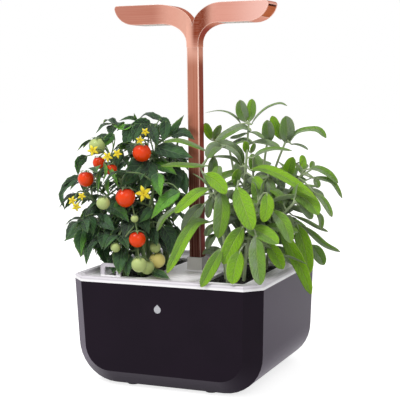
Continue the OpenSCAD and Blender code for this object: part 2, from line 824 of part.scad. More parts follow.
module board_screws() {
  color("#9a9ca0") for (s = [0, 1]) mirror([s, 0, 0]) for (x = [light_x0 + 6, light_x1 - 6]) translate([x, 0, 0]) {
    rod(0.94, board_z - 1.6, board_z + 6);
    difference() {
      rod(2, board_z - 2.8, board_z - 1.6);
      translate([0, 0, board_z - 2.8]) cube([2.6, 0.5, 1], center = true);
    }
  }
}

module mast_tube() {
  color("#b9705a") difference() {
    bar(mast_w, mast_low, neck_z);
    bar(mast_w - 2 * mast_wall, mast_low - 1, neck_z + 1);
  }
}

// Brass contact let into one side of the shoe, grown by gap
module contact_pad(gap = 0) {
  out = socket_in / 2 - 0.08;
  translate([out - contact_t / 2, 0, shoe_low + 1 + contact_h / 2])
    cube([contact_t + 2 * gap, rail_w - 1 + 2 * gap, contact_h + 2 * gap], center = true);
}

// Plug in the mast's lower end; its foot block slides in the socket
module mast_shoe() {
  w = mast_w - 2 * mast_wall - 2 * seat_gap;
  color("#2c2c30") difference() {
    union() {
      bar(w, mast_low - eps, mast_low + shoe_h);
      bar(mast_w, shoe_low, mast_low);
    }
    rod(cable_r + 0.4, mast_low + 8, mast_low + shoe_h + 1, $fn = 24);
    for (s = [0, 1]) mirror([s, 0, 0]) contact_pad(0.05);
  }
}

module contact_shoes() {
  color("#c79a45") for (s = [0, 1]) mirror([s, 0, 0]) contact_pad();
}

module mast_cable() {
  color("#e9e9ea") rod(cable_r, mast_low + 8, cable_top - 1, $fn = 24);
}

// ---- plants ---------------------------------------------------------------

function mix3(a, b, t) = a + (b - a) * t;

// Point on a stem that rises from [x, y] in the soil and bends to its top
function stem_point(stem, t) =
  let (
    foot = [stem[0], stem[1], soil_z - 2],
    top = [stem[2], stem[3], stem[4]],
    knee = [foot.x + (top.x - foot.x) * 0.2, foot.y + (top.y - foot.y) * 0.2, foot.z + (top.z - foot.z) * 0.6]
  )
  mix3(mix3(foot, knee, t), mix3(knee, top, t), t);

function unit(v) = v / norm(v);
function flat_unit(v) = let (h = norm([v.x, v.y])) h < 0.01 ? [1, 0, 0] : [v.x / h, v.y / h, 0];

// Diamond section of a blade or a twig, square to its direction and rolled
// about it
function diamond(p, along, wide, thick, roll = 0) =
  let (
    f = flat_unit(along),
    side = [-f.y, f.x, 0],
    up = unit(cross(unit(along), side)),
    across = side * cos(roll) + up * sin(roll),
    over = up * cos(roll) - side * sin(roll)
  )
  [p - across * wide / 2, p - over * thick / 2, p + across * wide / 2, p + over * thick / 2];

module twig(a, b, r1, r2) {
  d = b - a;
  loft([diamond(a, d, 2 * r1, 2 * r1), diamond(b, d, 2 * r2, 2 * r2)]);
}

// Branch from a stem to the foot of a leaf, and a little way into the leaf
module branch(stems, l) {
  from = stem_point(stems[l[0]], l[1]);
  twig(from, l[2] + unit(l[3] - l[2]) * 2 * leaf_step, 0.9, 0.6);
}

module stem_rod(stem, r) {
  steps = 6;
  loft([for (i = [0:steps]) let (
    p = stem_point(stem, i / steps),
    q = stem_point(stem, i / steps + 0.05)
  ) diamond(p, q - p, 2 * r * (1 - 0.55 * i / steps), 2 * r * (1 - 0.55 * i / steps))]);
}

// Blade from its foot to its tip, arched upwards by arch; a long one keeps
// its width further along than a short, pointed one
module leaf(node_at, tip, wide, arch, roll = 0, long = true) {
  foot = node_at + unit(tip - node_at) * leaf_step;
  d = tip - foot;
  places = long ? [0, 0.3, 0.68, 1] : [0, 0.4, 1];
  widths = long ? [0.18, 0.94, 0.86, 0.1] : [0.2, 1, 0.08];
  loft([for (i = [0:len(places) - 1]) let (
    s = places[i],
    p = foot + d * s + [0, 0, 4 * arch * s * (1 - s)],
    slope = d + [0, 0, 4 * arch * (1 - 2 * s)]
  ) diamond(p, slope, wide * widths[i], leaf_t, roll)]);
}

// Room that a plant may fill: inside the round outline of its bush, clear of
// the mast, the gauge and the filler cap in the middle, the other plant, the
// tomatoes and the deck below
middle_gap = 12;
leaf_step = 0.6;
share_x = -20;
share_gap = 1.5;
bush_x = 74;
bush_z = 178;
fruit_gap = 3;
flower_r = 6;
function has_room(p, side) =
  let (
    tall = side > 0 ? 106 : 86,
    bush = norm([(p.x - side * bush_x) / 76, p.y / 98, (p.z - bush_z) / tall]),
    outside = abs(p.x) > body_w / 2 + 3 || abs(p.y) > body_d / 2 + 3,
    low = outside ? seam_z - 45 : rim_z + 4,
    cap_side = p.y > cap_y - cap_l && p.z < cap_base + 34 ? cap_w / 2 + 4 : 0,
    edge = p.y > -middle_gap ? side * max(middle_gap, cap_side) : share_x + side * share_gap,
    fruit = side > 0 ? [] : concat(ripe_fruit, unripe_fruit),
    bloom = side > 0 ? [] : flowers
  )
  bush < 1.1 && abs(p.x) < 148 && abs(p.y) < 97 && p.z > low && side * (p.x - edge) > 0
    && min([1, for (f = fruit) norm(p - [f.x, f.y, f.z]) - f[3] - fruit_gap]) > 0
    && min([1, for (f = bloom) norm(p - [f.x, f.y, f.z]) - flower_r - fruit_gap]) > 0;

function reach(length, turn, rise) =
  length * [cos(turn) * cos(rise), sin(turn) * cos(rise), sin(rise)];

function fits(foot, tip, arch, side, wide) =
  let (
    d = flat_unit(tip - foot),
    across = [-d.y, d.x, 0] * wide / 2
  )
  min([for (s = [0.3, 0.68, 1], k = [-1, 1])
    has_room(mix3(foot, tip, s) + [0, 0, 4 * arch * s * (1 - s)] + across * k, side) ? 1 : 0]) == 1;

// Sage shoots: foot x, foot y, top x, top y, top z
sage_shoots = [
  [50, 0, 58, -2, 256],
  [58, 16, 92, 14, 240],
  [42, 24, 24, 26, 238],
  [42, -26, 20, -36, 214],
  [50, -42, 44, -58, 192],
  [64, 6, 110, 6, 206],
  [62, -30, 86, -50, 186],
  [60, 40, 98, 46, 196],
  [44, 46, 40, 60, 222],
  [52, -12, 66, -28, 232],
  [54, 28, 66, 38, 250],
  [66, -10, 118, -40, 184]
];
sage_pairs = 5;

// Leaves that give the sage its outline, each on a branch: stem and place
// that carry the branch, the leaf's foot, its tip, width, arch and roll
sage_reaching = [
  [0, 1, [55, -2, 258], [51, -8, 280], 12, 0, 60],
  [0, 1, [58, -2, 258], [60, 4, 280], 10, 0, 35],
  [0, 1, [50, -2, 256], [12, 0, 266], 5, 6, -10],
  [0, 1, [60, -2, 255], [96, 5, 272], 6, 8, 10],
  [0, 0.96, [60, -2, 249], [28, -12, 236], 10, 6, -45],
  [0, 0.9, [61, -2, 238], [90, -2, 233], 9, 3, 25],
  [1, 1, [85, 14, 241], [76, 18, 262], 10, 0, -45],
  [1, 0.96, [91, 14, 237], [94, 8, 263], 15, 0, 5],
  [1, 1, [95, 14, 237], [132, 12, 242], 8, 10, 25],
  [2, 1, [6, 26, 238], [2, 20, 255], 9, 0, 60],
  [2, 1, [9, 26, 238], [20, 20, 254], 8, 0, -50],
  [10, 0.9, [74, 10, 237], [77, 0, 259], 13, 0, 10],
  [9, 0.84, [60, -24, 216], [26, -30, 224], 10, 14, -40],
  [9, 0.84, [67, -24, 212], [134, -30, 188], 12, 8, 35],
  [9, 0.68, [66, -58, 199], [88, -78, 162], 19, 2, 30],
  [3, 1, [28, -36, 230], [-16, -31, 237], 6, 4, -35],
  [3, 1, [28, -37, 216], [-16, -40, 216], 6, 0, -40],
  [3, 0.92, [32, -53, 210], [58, -66, 194], 14, 2, 55],
  [3, 0.68, [21, -31, 178], [5, -48, 150], 14, 3, -65],
  [4, 1, [39, -58, 197], [8, -72, 173], 12, 2, -45],
  [4, 1, [12, -58, 181], [-16, -60, 154], 7, 0, -55],
  [4, 1, [50, -58, 195], [49, -64, 151], 16, 2, -35],
  [4, 0.68, [36, -52, 163], [4, -84, 118], 13, 10, -40],
  [4, 0.36, [56, -74, 143], [44, -90, 116], 12, 0, -60],
  [6, 1, [94, -51, 193], [95, -64, 168], 13, 0, -20],
  [6, 0.96, [98, -49, 177], [121, -60, 149], 13, 2, 45],
  [6, 0.6, [73, -61, 161], [60, -80, 129], 16, 2, -60],
  [6, 0.6, [77, -60, 160], [113, -74, 149], 17, 2, 30],
  [6, 0.56, [90, -70, 156], [100, -92, 116], 16, 2, 5],
  [6, 0.32, [76, -77, 141], [74, -90, 115], 16, 0, -35],
  [11, 0.44, [90, -38, 143], [109, -50, 121], 13, 0, 40],
  [11, 0.64, [97, -25, 157], [125, -10, 92], 13, 2, -85],
  [11, 1, [117, -30, 181], [129, -22, 166], 9, 0, -80],
  [5, 0.56, [106, 4, 157], [118, 5, 108], 15, 2, 60],
  [5, 0.72, [93, -9, 185], [136, -30, 171], 18, 6, 28],
  [5, 0.9, [96, 2, 203], [106, -8, 223], 12, 0, -25],
  [5, 1, [118, 6, 212], [143, 14, 199], 9, 4, 40],
  [5, 1, [121, 6, 203], [146, 18, 184], 7, 7, 50],
  [5, 0.96, [122, 6, 190], [143, 0, 167], 7, 3, 55],
  [7, 0.56, [96, 42, 152], [142, 30, 128], 8, 0, 30],
  [7, 0.64, [88, 43, 161], [130, 30, 147], 5, 3, 30],
  [7, 0.36, [112, 31, 132], [129, 20, 116], 12, 0, 40]
];

module sage_stems() {
  color("#8fa06a") {
    for (stem = sage_shoots) stem_rod(stem, 1.6);
    for (l = sage_reaching) branch(sage_shoots, l);
  }
}

module sage_leaves() {
  color("#7fa04f") {
    for (k = [0:len(sage_shoots) - 1]) {
      stem = sage_shoots[k];
      for (j = [0:sage_pairs - 1], half = [0, 180]) {
        t = 0.42 + 0.56 * j / (sage_pairs - 1);
        foot = stem_point(stem, t);
        turn = 90 * j + 47 * k + half;
        rise = -22 + 92 * pow(j / (sage_pairs - 1), 1.5) + 8 * sin(131 * (j + 5 * k) + half);
        length = 56 - 30 * pow(j / (sage_pairs - 1), 2) + 6 * sin(97 * (j + 3 * k) + half / 2);
        tip = foot + reach(length, turn, rise);
        wide = sage_leaf_ratio * length;
        if (tip.y > foot.y - 4 && fits(foot, tip, 5, 1, wide)) leaf(foot, tip, wide, 5, 38 * sin(151 * (j + 3 * k) + half));
      }
    }
    for (l = sage_reaching) leaf(l[2], l[3], l[4], l[5], l[6]);
  }
}

// Tomato shoots: foot x, foot y, top x, top y, top z
tomato_shoots = [
  [-50, -34, -76, -42, 224],
  [-54, -4, -66, -4, 240],
  [-52, 34, -76, 44, 226],
  [-46, -16, -36, -20, 234],
  [-60, -46, -108, -36, 188],
  [-64, 12, -112, 4, 184],
  [-46, 24, -36, 36, 238],
  [-62, 44, -100, 60, 178],
  [-44, -40, -22, -48, 206]
];
spray_count = 6;

// Drooping sprays on the outer side: stem, place along it, end of the stalk
tomato_reaching = [
  [5, 0.95, [-128, -24, 196]],
  [4, 0.8, [-120, -38, 158]],
  [4, 0.6, [-98, -44, 146]],
  [0, 0.5, [-78, -62, 144]]
];

// Leaflets that give the tomato plant its outline: stem and place that carry
// the branch, the leaflet's foot, its tip, width, arch and roll
tomato_single = [
  [1, 1, [-62, -4, 261], [-25, -14, 253], 10, 5, 22],
  [1, 1, [-62, -24, 256], [-64, -36, 231], 14, 0, -35],
  [1, 1, [-60, -25, 254], [-78, -34, 256], 10, 0, -42],
  [8, 1, [-35, -50, 212], [-56, -64, 196], 20, 2, -60],
  [8, 1, [-29, -51, 220], [-37, -61, 200], 18, 0, -44],
  [0, 1, [-103, -42, 224], [-112, -46, 204], 10, 3, -86],
  [4, 1, [-114, -36, 202], [-132, -40, 168], 13, 4, -44],
  [4, 0.72, [-87, -45, 169], [-103, -56, 157], 15, 4, -43],
  [4, 0.72, [-73, -54, 175], [-45, -66, 162], 18, 2, 28],
  [4, 0.68, [-82, -55, 164], [-61, -64, 152], 16, 0, 57],
  [4, 0.64, [-100, -41, 153], [-126, -54, 137], 16, 2, -45],
  [4, 0.64, [-105, -51, 150], [-101, -64, 124], 14, 0, -6],
  [4, 0.56, [-86, -47, 150], [-46, -62, 136], 17, 2, 30],
  [4, 0.44, [-86, -44, 141], [-71, -58, 117], 14, 0, 26],
  [4, 0.28, [-69, -57, 129], [-62, -61, 118], 13, 0, 9],
  [4, 0.2, [-47, -60, 129], [-44, -70, 115], 14, 0, 0],
  [0, 0.4, [-49, -51, 156], [-57, -60, 140], 12, 0, -67],
  [8, 0.44, [-32, -45, 154], [-23, -54, 139], 12, 0, 35]
];

// Tomatoes: centre x, y, z, radius, and the stem and place that carries it
ripe_fruit = [
  [-38, -48, 229, 9.2, 3, 0.85],
  [-94, -62, 203, 8.2, 4, 0.9],
  [-45, -72, 187, 9.7, 0, 0.6],
  [-33, -72, 146, 8.2, 0, 0.45],
  [-82, -56, 219, 6.5, 0, 0.9],
  [-66, -60, 213, 5.5, 0, 0.8]
];
unripe_fruit = [
  [-90, -44, 235, 8.7, 0, 0.97],
  [-67, -77, 181, 6.7, 0, 0.55],
  [-57, -72, 137, 5.1, 0, 0.4],
  [-27, -44, 134, 5.6, 3, 0.4],
  [-30, -75, 121.5, 7.7, 0, 0.35],
  [-29.5, -58.5, 116.5, 7.2, 0, 0.3],
  [-28, -38, 120, 8.2, 3, 0.3],
  [-36, -71, 166, 3.8, 0, 0.6]
];
flowers = [
  [-82, -68, 232, 0, 0.9],
  [-66, -68, 226, 0, 0.85],
  [-56, -66, 229, 0, 0.9],
  [-32, -52, 250, 3, 0.9],
  [-34, -60, 242, 3, 0.85],
  [-30, -62, 190, 3, 0.7],
  [-96, -68, 186, 4, 0.8],
  [-108, -66, 181, 4, 0.95],
  [-99, -74, 176, 4, 0.85]
];

module fruit_stalk(f, hang) {
  from = stem_point(tomato_shoots[f[len(f) - 2]], f[len(f) - 1]);
  end = [f.x, f.y, f.z] + [0, 0, hang];
  bow = mix3(from, end, 0.55) + [0, 0, 6];
  twig(from, bow, 0.9, 0.7);
  twig(bow, end, 0.7, 0.6);
}

// Stalk of a compound leaf
module spray_stalk(foot, tip) {
  twig(foot, tip, 0.9, 0.6);
}

// One leaflet, if there is room for it
module leaflet(at, turn, rise, size, roll) {
  end = at + reach(size, turn, rise);
  wide = tomato_leaf_ratio * size;
  if (fits(at, end, 3, -1, wide)) leaf(at, end, wide, 3, roll, false);
}

// Leaflets of a compound leaf: two pairs along its stalk and one at the end
module spray_leaflets(foot, tip, length) {
  d = tip - foot;
  turn = atan2(d.y, d.x);
  rise = asin(d.z / norm(d));
  leaflet(mix3(foot, tip, 0.97), turn, rise - 44, length * 0.46, 20 * sin(3 * turn));
  for (s = [0.5, 0.9], k = [-1, 1])
    leaflet(mix3(foot, tip, s), turn + k * 62, rise - 30, length * (0.46 - 0.06 * s), k * 30);
}

module tomato_sprays(stalks) {
  for (k = [0:len(tomato_shoots) - 1], j = [0:spray_count - 1]) {
    turn = 137.5 * j + 71 * k;
    rise = -24 + 56 * pow(j / (spray_count - 1), 1.6);
    length = 66 - 16 * j / (spray_count - 1);
    foot = stem_point(tomato_shoots[k], 0.3 + 0.7 * j / (spray_count - 1));
    tip = foot + reach(length * 0.62, turn, rise);
    if (fits(foot, tip, 3, -1, 4)) {
      if (stalks) spray_stalk(foot, tip);
      else spray_leaflets(foot, tip, length);
    }
  }
  for (l = tomato_reaching) {
    foot = stem_point(tomato_shoots[l[0]], l[1]);
    if (stalks) spray_stalk(foot, l[2]);
    else spray_leaflets(foot, l[2], 62);
  }
}

module tomato_stems() {
  color("#5d7a45") {
    for (stem = tomato_shoots) stem_rod(stem, 2);
    tomato_sprays(true);
    for (l = tomato_single) branch(tomato_shoots, l);
    for (f = concat(ripe_fruit, unripe_fruit)) fruit_stalk(f, f[3] - 0.4);
    for (f = flowers) fruit_stalk(f, 0.3);
  }
}

module tomato_leaves() {
  color("#2f5a33") {
    tomato_sprays(false);
    for (l = tomato_single) leaf(l[2], l[3], l[4], l[5], l[6], false);
  }
}

module fruits(list) {
  for (f = list) translate([f.x, f.y, f.z]) sphere(r = f[3], $fn = 32);
}

module ripe_tomatoes() {
  color("#d92b1c") fruits(ripe_fruit);
}

module unripe_tomatoes() {
  color("#b5c46a") fruits(unripe_fruit);
}

module tomato_flowers() {
  color("#f2d32c") for (i = [0:len(flowers) - 1])
    translate([flowers[i].x, flowers[i].y, flowers[i].z]) rotate([0, 0, 40 * i])
      cylinder(r1 = 1, r2 = flower_r, h = 2.6, $fn = 5);
}

// ---- sub-parts ------------------------------------------------------------

outer_shell();
bottom_cover();
rubber_feet();
cover_screws();
water_tank();
mast_socket();
contact_rails();
service_panel();
control_board();
panel_screws();
dc_inlet();
inlet_pin();
button_switch();
base_lead();
front_badge();
power_button();
deck();
mast_collar();
gauge_guide();
hinge_pin();
filler_cap();
float_bulb();
gauge_rod();
on_left() pod_tray();  // pod_tray_left
on_left() growing_block();  // growing_block_left
on_left() wick();  // wick_left
tomato_stems();
tomato_leaves();
ripe_tomatoes();
unripe_tomatoes();
tomato_flowers();
on_right() rotate([0, 0, 180]) pod_tray();  // pod_tray_right
on_right() growing_block();  // growing_block_right
on_right() wick();  // wick_right
sage_stems();
sage_leaves();
mast_tube();
mast_shoe();
contact_shoes();
mast_cable();
lamp_housing();
mirror([1, 0, 0]) end_cap();  // end_cap_left
end_cap();  // end_cap_right
mirror([1, 0, 0]) led_board();  // led_board_left
led_board();  // led_board_right
mirror([1, 0, 0]) leds();  // leds_left
leds();  // leds_right
board_screws();
mirror([1, 0, 0]) diffuser();  // diffuser_left
diffuser();  // diffuser_right
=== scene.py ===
# %% [markdown]
# # A countertop hydroponic garden
#
# The real object is a dark planter with a water tank, a white deck that
# holds two plant pods, and a copper lamp on a mast. The exact solids come
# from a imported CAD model, which is loaded first and is never moved. This
# file dresses it: it rounds the hard edges, grows the plants leaf by leaf,
# and gives every piece a finish. Lengths are in metres, and those that read
# better in millimetres are multiplied by MM.

# %% Load the frame
import json
import math
import random

import bmesh
import bpy
import numpy as np
from mathutils import Matrix, Vector


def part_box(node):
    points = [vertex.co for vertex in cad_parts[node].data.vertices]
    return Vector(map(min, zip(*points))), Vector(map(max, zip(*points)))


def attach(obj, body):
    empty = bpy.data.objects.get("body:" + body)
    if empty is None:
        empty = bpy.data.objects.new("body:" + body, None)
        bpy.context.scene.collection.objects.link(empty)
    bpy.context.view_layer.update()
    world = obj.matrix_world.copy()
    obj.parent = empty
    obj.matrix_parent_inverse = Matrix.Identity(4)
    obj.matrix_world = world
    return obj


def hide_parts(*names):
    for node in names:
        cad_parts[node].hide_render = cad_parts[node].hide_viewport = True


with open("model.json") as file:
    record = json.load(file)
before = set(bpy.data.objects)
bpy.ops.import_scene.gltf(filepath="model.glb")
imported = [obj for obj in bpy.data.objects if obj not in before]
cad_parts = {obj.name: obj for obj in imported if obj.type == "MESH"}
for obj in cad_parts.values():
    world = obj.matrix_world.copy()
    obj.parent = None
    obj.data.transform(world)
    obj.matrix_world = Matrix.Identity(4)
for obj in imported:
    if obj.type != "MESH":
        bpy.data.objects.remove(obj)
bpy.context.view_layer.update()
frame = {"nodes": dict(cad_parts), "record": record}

MM = 0.001
BODY_OF = {
    node: body
    for body, members in frame["record"]["behaviour"]["bodies"].items()
    for node in members
}
SLOT_OF = {row["node"]: row["material_slot"] for row in frame["record"]["subparts"]}

# %% [markdown]
# ## The camera
#
# A camera is a matrix: three columns say where its right side, its top and
# its back point, and the fourth says where it stands. Writing the matrix is
# more exact than turning the camera by hand. A long lens far away keeps the
# planter's edges nearly parallel.

# %% Camera
EYE = Vector((0.4294, -1.0040, 0.2980))
RIGHT = Vector((0.92107, 0.38922, -0.01199))
TOP = Vector((-0.03155, 0.10528, 0.99394))
AHEAD = Vector((-0.38812, 0.91511, -0.10925))
LENS, SENSOR, VIEW = 96.56, 36.0, 400


def stand(name, data):
    """A new object in the scene."""
    thing = bpy.data.objects.new(name, data)
    bpy.context.scene.collection.objects.link(thing)
    return thing


camera_data = bpy.data.cameras.new("camera")
camera_data.lens, camera_data.sensor_width = LENS, SENSOR
camera = stand("camera", camera_data)
columns = Matrix((RIGHT, TOP, -AHEAD)).transposed().to_4x4()
camera.matrix_world = Matrix.Translation(EYE) @ columns
bpy.context.scene.camera = camera
print("camera stands", round(EYE.length, 3), "m from the garden")


# %% [markdown]
# Leaves are easiest to place by where they show in the view. A point of the
# view and a depth make one point in space, because the camera's ray through
# that point meets the upright plane at that depth only once. The other way
# round, any point in space can be asked where it shows.

# %% From the view to space and back
def at(u, v, depth):
    """The point that shows at (u, v) of a 400 pixel view, at y = depth mm."""
    reach = SENSOR / LENS / VIEW
    ray = AHEAD + RIGHT * (u - VIEW / 2) * reach - TOP * (v - VIEW / 2) * reach
    return EYE + ray * ((depth * MM - EYE.y) / ray.y)


def shows(point):
    """Where a point shows in the view, and how far it is from the camera."""
    away = Vector(point) - EYE
    far = away.dot(AHEAD)
    scale = LENS / SENSOR * VIEW / far
    return VIEW / 2 + away.dot(RIGHT) * scale, VIEW / 2 - away.dot(TOP) * scale, far


print("the mast's foot shows at", [round(x) for x in shows((0, 0, 0.11))[:2]])


# %% [markdown]
# ## Node trees written as Python
#
# Finishes and growing plants are both node trees. A small class stands for
# one wire of a tree, and adding or multiplying wires adds Math nodes. A
# second class adds any other node, with its settings and its sockets.

# %% A wire
class Wire:
    """One output of a node. Arithmetic on it adds Math nodes to its tree."""

    def __init__(self, bench, socket):
        self.bench, self.socket = bench, socket

    def maths(self, operation, *values):
        return self.bench.node("ShaderNodeMath", {"operation": operation}, dict(enumerate(values)))

    def other(self, name):
        return Wire(self.bench, self.socket.node.outputs[name])

    def __add__(self, value):
        return self.maths("ADD", self, value)

    def __radd__(self, value):
        return self.maths("ADD", value, self)

    def __sub__(self, value):
        return self.maths("SUBTRACT", self, value)

    def __rsub__(self, value):
        return self.maths("SUBTRACT", value, self)

    def __mul__(self, value):
        return self.maths("MULTIPLY", self, value)

    def __rmul__(self, value):
        return self.maths("MULTIPLY", value, self)

    def __abs__(self):
        return self.maths("ABSOLUTE", self)

    def larger(self, value):
        """The larger of this and another value at each point."""
        return self.maths("MAXIMUM", self, value)

    def fade(self, low, high):
        """0 up to low and 1 from high, with a soft step between."""
        return self.bench.node(
            "ShaderNodeMapRange", {"interpolation_type": "SMOOTHSTEP"},
            Value=self, From_Min=low, From_Max=high,
        )


# %% A bench
def paint(code):
    """Linear colour from a screen colour such as #c07a62."""
    parts = [int(code[i:i + 2], 16) / 255 for i in (1, 3, 5)]
    return (*[c / 12.92 if c < 0.04045 else ((c + 0.055) / 1.055) ** 2.4 for c in parts], 1)


def spaced(sockets):
    """Socket names written with _ for a space."""
    return {name.replace("_", " "): value for name, value in sockets.items()}


class Bench:
    """A node tree that nodes are added to."""

    def __init__(self, tree):
        self.tree = tree

    def plug(self, socket, value):
        """Link a wire to a socket, or give the socket a value."""
        if isinstance(value, Wire):
            self.tree.links.new(value.socket, socket)
        else:
            socket.default_value = value

    def node(self, kind, settings=None, values=None, out=0, **sockets):
        """Add a node. values has its sockets by number, sockets by name."""
        node = self.tree.nodes.new(kind)
        for name, value in (settings or {}).items():
            setattr(node, name, value)
        for key, value in {**(values or {}), **spaced(sockets)}.items():
            self.plug(node.inputs[key], value)
        return Wire(self, node.outputs[out]) if node.outputs else node

    def vector(self, operation, *values):
        return self.node("ShaderNodeVectorMath", {"operation": operation}, dict(enumerate(values)))

    def axes(self, vector):
        """The X, Y and Z of a vector, as three wires."""
        split = self.node("ShaderNodeSeparateXYZ", Vector=vector)
        return [split.other(axis) for axis in "XYZ"]

    def mix(self, share, first, second):
        """A blend of two colours, each a wire or a screen colour."""
        first, second = (paint(c) if isinstance(c, str) else c for c in (first, second))
        return self.node("ShaderNodeMix", {"data_type": "RGBA"}, {0: share, 6: first, 7: second}, 2)


# %% [markdown]
# ## Finishes
#
# A finish is one Principled shader. Most of its look comes from a few
# patterns in the object's own space: fine grain for moulded plastic, long
# streaks for brushed metal, soft clouds for uneven colour. Colours are
# written as screen colours and turned into the linear numbers that Blender
# works with. A finish is kept under the name of its material slot.

# %% Finish helpers
FINISH = {}


class Finish(Bench):
    """The material of one slot, on a bench of its own."""

    def __init__(self, slot, **fixed):
        self.slot, self.material = slot, bpy.data.materials.new(slot)
        self.material.use_nodes = True
        super().__init__(self.material.node_tree)
        self.place = self.node("ShaderNodeTexCoord").other("Object")
        self.surface(**fixed)

    def surface(self, **sockets):
        """Plug wires and values into the Principled shader."""
        inputs = self.tree.nodes["Principled BSDF"].inputs
        for name, value in spaced(sockets).items():
            self.plug(inputs[name], value)
        FINISH[self.slot] = self.material

    def attribute(self, name):
        return self.node("ShaderNodeAttribute", {"attribute_name": name}).other("Fac")

    def noise(self, scale, detail=3.0):
        return self.node("ShaderNodeTexNoise", Vector=self.place, Scale=scale, Detail=detail)

    def streaks(self, x, y, z, detail=4):
        """Noise that is stretched by other amounts along X, Y and Z."""
        stretched = self.node("ShaderNodeMapping", Vector=self.place, Scale=(x, y, z))
        return self.node("ShaderNodeTexNoise", Vector=stretched, Scale=1.0, Detail=detail)

    def bump(self, height, distance):
        return self.node("ShaderNodeBump", Height=height, Distance=distance, Strength=1.0)


def moulded(slot, colour, second, roughness, grain=2600, depth=0.00004, **fixed):
    """Moulded plastic: fine grain, faint clouds of a second colour."""
    f = Finish(slot, **fixed)
    clouds = f.noise(22, 2).fade(0.35, 0.65)
    fine = f.noise(grain, 2)
    f.surface(
        Base_Color=f.mix(clouds, colour, second),
        Roughness=roughness + 0.08 * fine,
        Normal=f.bump(fine, depth),
    )


# %% [markdown]
# The plastics differ in colour, gloss and grain only, so one recipe makes
# them all. The shell is nearly black with a plum tint. Its reflections are
# held low, so that it stays dark when seen square on, and a little sheen
# turns it a plum grey when seen along the face.

# %% Plastic, rubber and board finishes
moulded(
    "dark_shell", "#110912", "#140b15", 0.27, 3200, 0.00002, Specular_IOR_Level=0.082,
    Sheen_Weight=0.13, Sheen_Roughness=0.5, Sheen_Tint=paint("#c48be8"),
)
moulded("black_plastic", "#151416", "#19181b", 0.5, Specular_IOR_Level=0.4)
moulded("foot_rubber", "#26262a", "#2d2c2e", 0.75)
moulded("tank_plastic", "#3a3d42", "#42454a", 0.35)
moulded("guide_plastic", "#4c4e54", "#55575c", 0.4)
moulded("button_grey", "#5f5f66", "#6b6a70", 0.45)
moulded("collar_grey", "#cfcdc8", "#d8d6d2", 0.42)
moulded("gauge_red", "#bd2e27", "#c8332c", 0.25)
moulded("cable_white", "#dededf", "#e6e6e7", 0.4)
moulded("board_white", "#e6e9e7", "#f0f2f0", 0.5)
moulded("lens_frost", "#e9e9e4", "#f4f4ee", 0.55)

# The deck's floor is painted whiter than its rim: painted light that offsets the plants' shade on the
# floor, with the rim kept greyer where the lamps fall on it.
f = Finish("deck_white", Roughness=0.36, Specular_IOR_Level=0.3)
DECK_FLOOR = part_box("growing_block_left")[1].z
painted_light_rim_mask = f.axes(f.place)[2].fade(DECK_FLOOR + 3.5 * MM, DECK_FLOOR + 5.5 * MM)
f.surface(
    Base_Color=f.mix(painted_light_rim_mask, "#fefcfe", f.mix(f.noise(22, 2), "#d6d1d8", "#d1ccd3")),
    Normal=f.bump(f.noise(2400, 2), 0.00003),
)
print(len(FINISH), "plastic finishes")


# %% [markdown]
# Metal shows how it was worked. Streaks along the length of the part stand
# for brushing: the same noise, stretched a hundred times along one axis,
# changes the roughness and the height of the surface.

# %% Metal finishes
def brushed(slot, colour, second, roughness, along, **fixed):
    f = Finish(slot, Metallic=1.0, **fixed)
    streaks = f.streaks(*[12 if axis == along else 1400 for axis in "xyz"])
    shade = 0.65 * streaks + 0.35 * f.noise(14, 2)
    f.surface(
        Base_Color=f.mix(shade.fade(0.3, 0.7), colour, second),
        Roughness=roughness + 0.16 * (streaks - 0.5),
        Normal=f.bump(streaks, 0.00004),
    )


brushed("copper_dark", "#a26650", "#b87a62", 0.42, "y", Specular_Tint=paint("#d8a08a"))
brushed("screw_steel", "#a9abae", "#c2c4c7", 0.3, "z")
brushed("contact_brass", "#c79a45", "#d8ab55", 0.28, "z")
brushed("badge_silver", "#98989c", "#adadb2", 0.4, "x")
print(len(FINISH), "finishes with the metals")
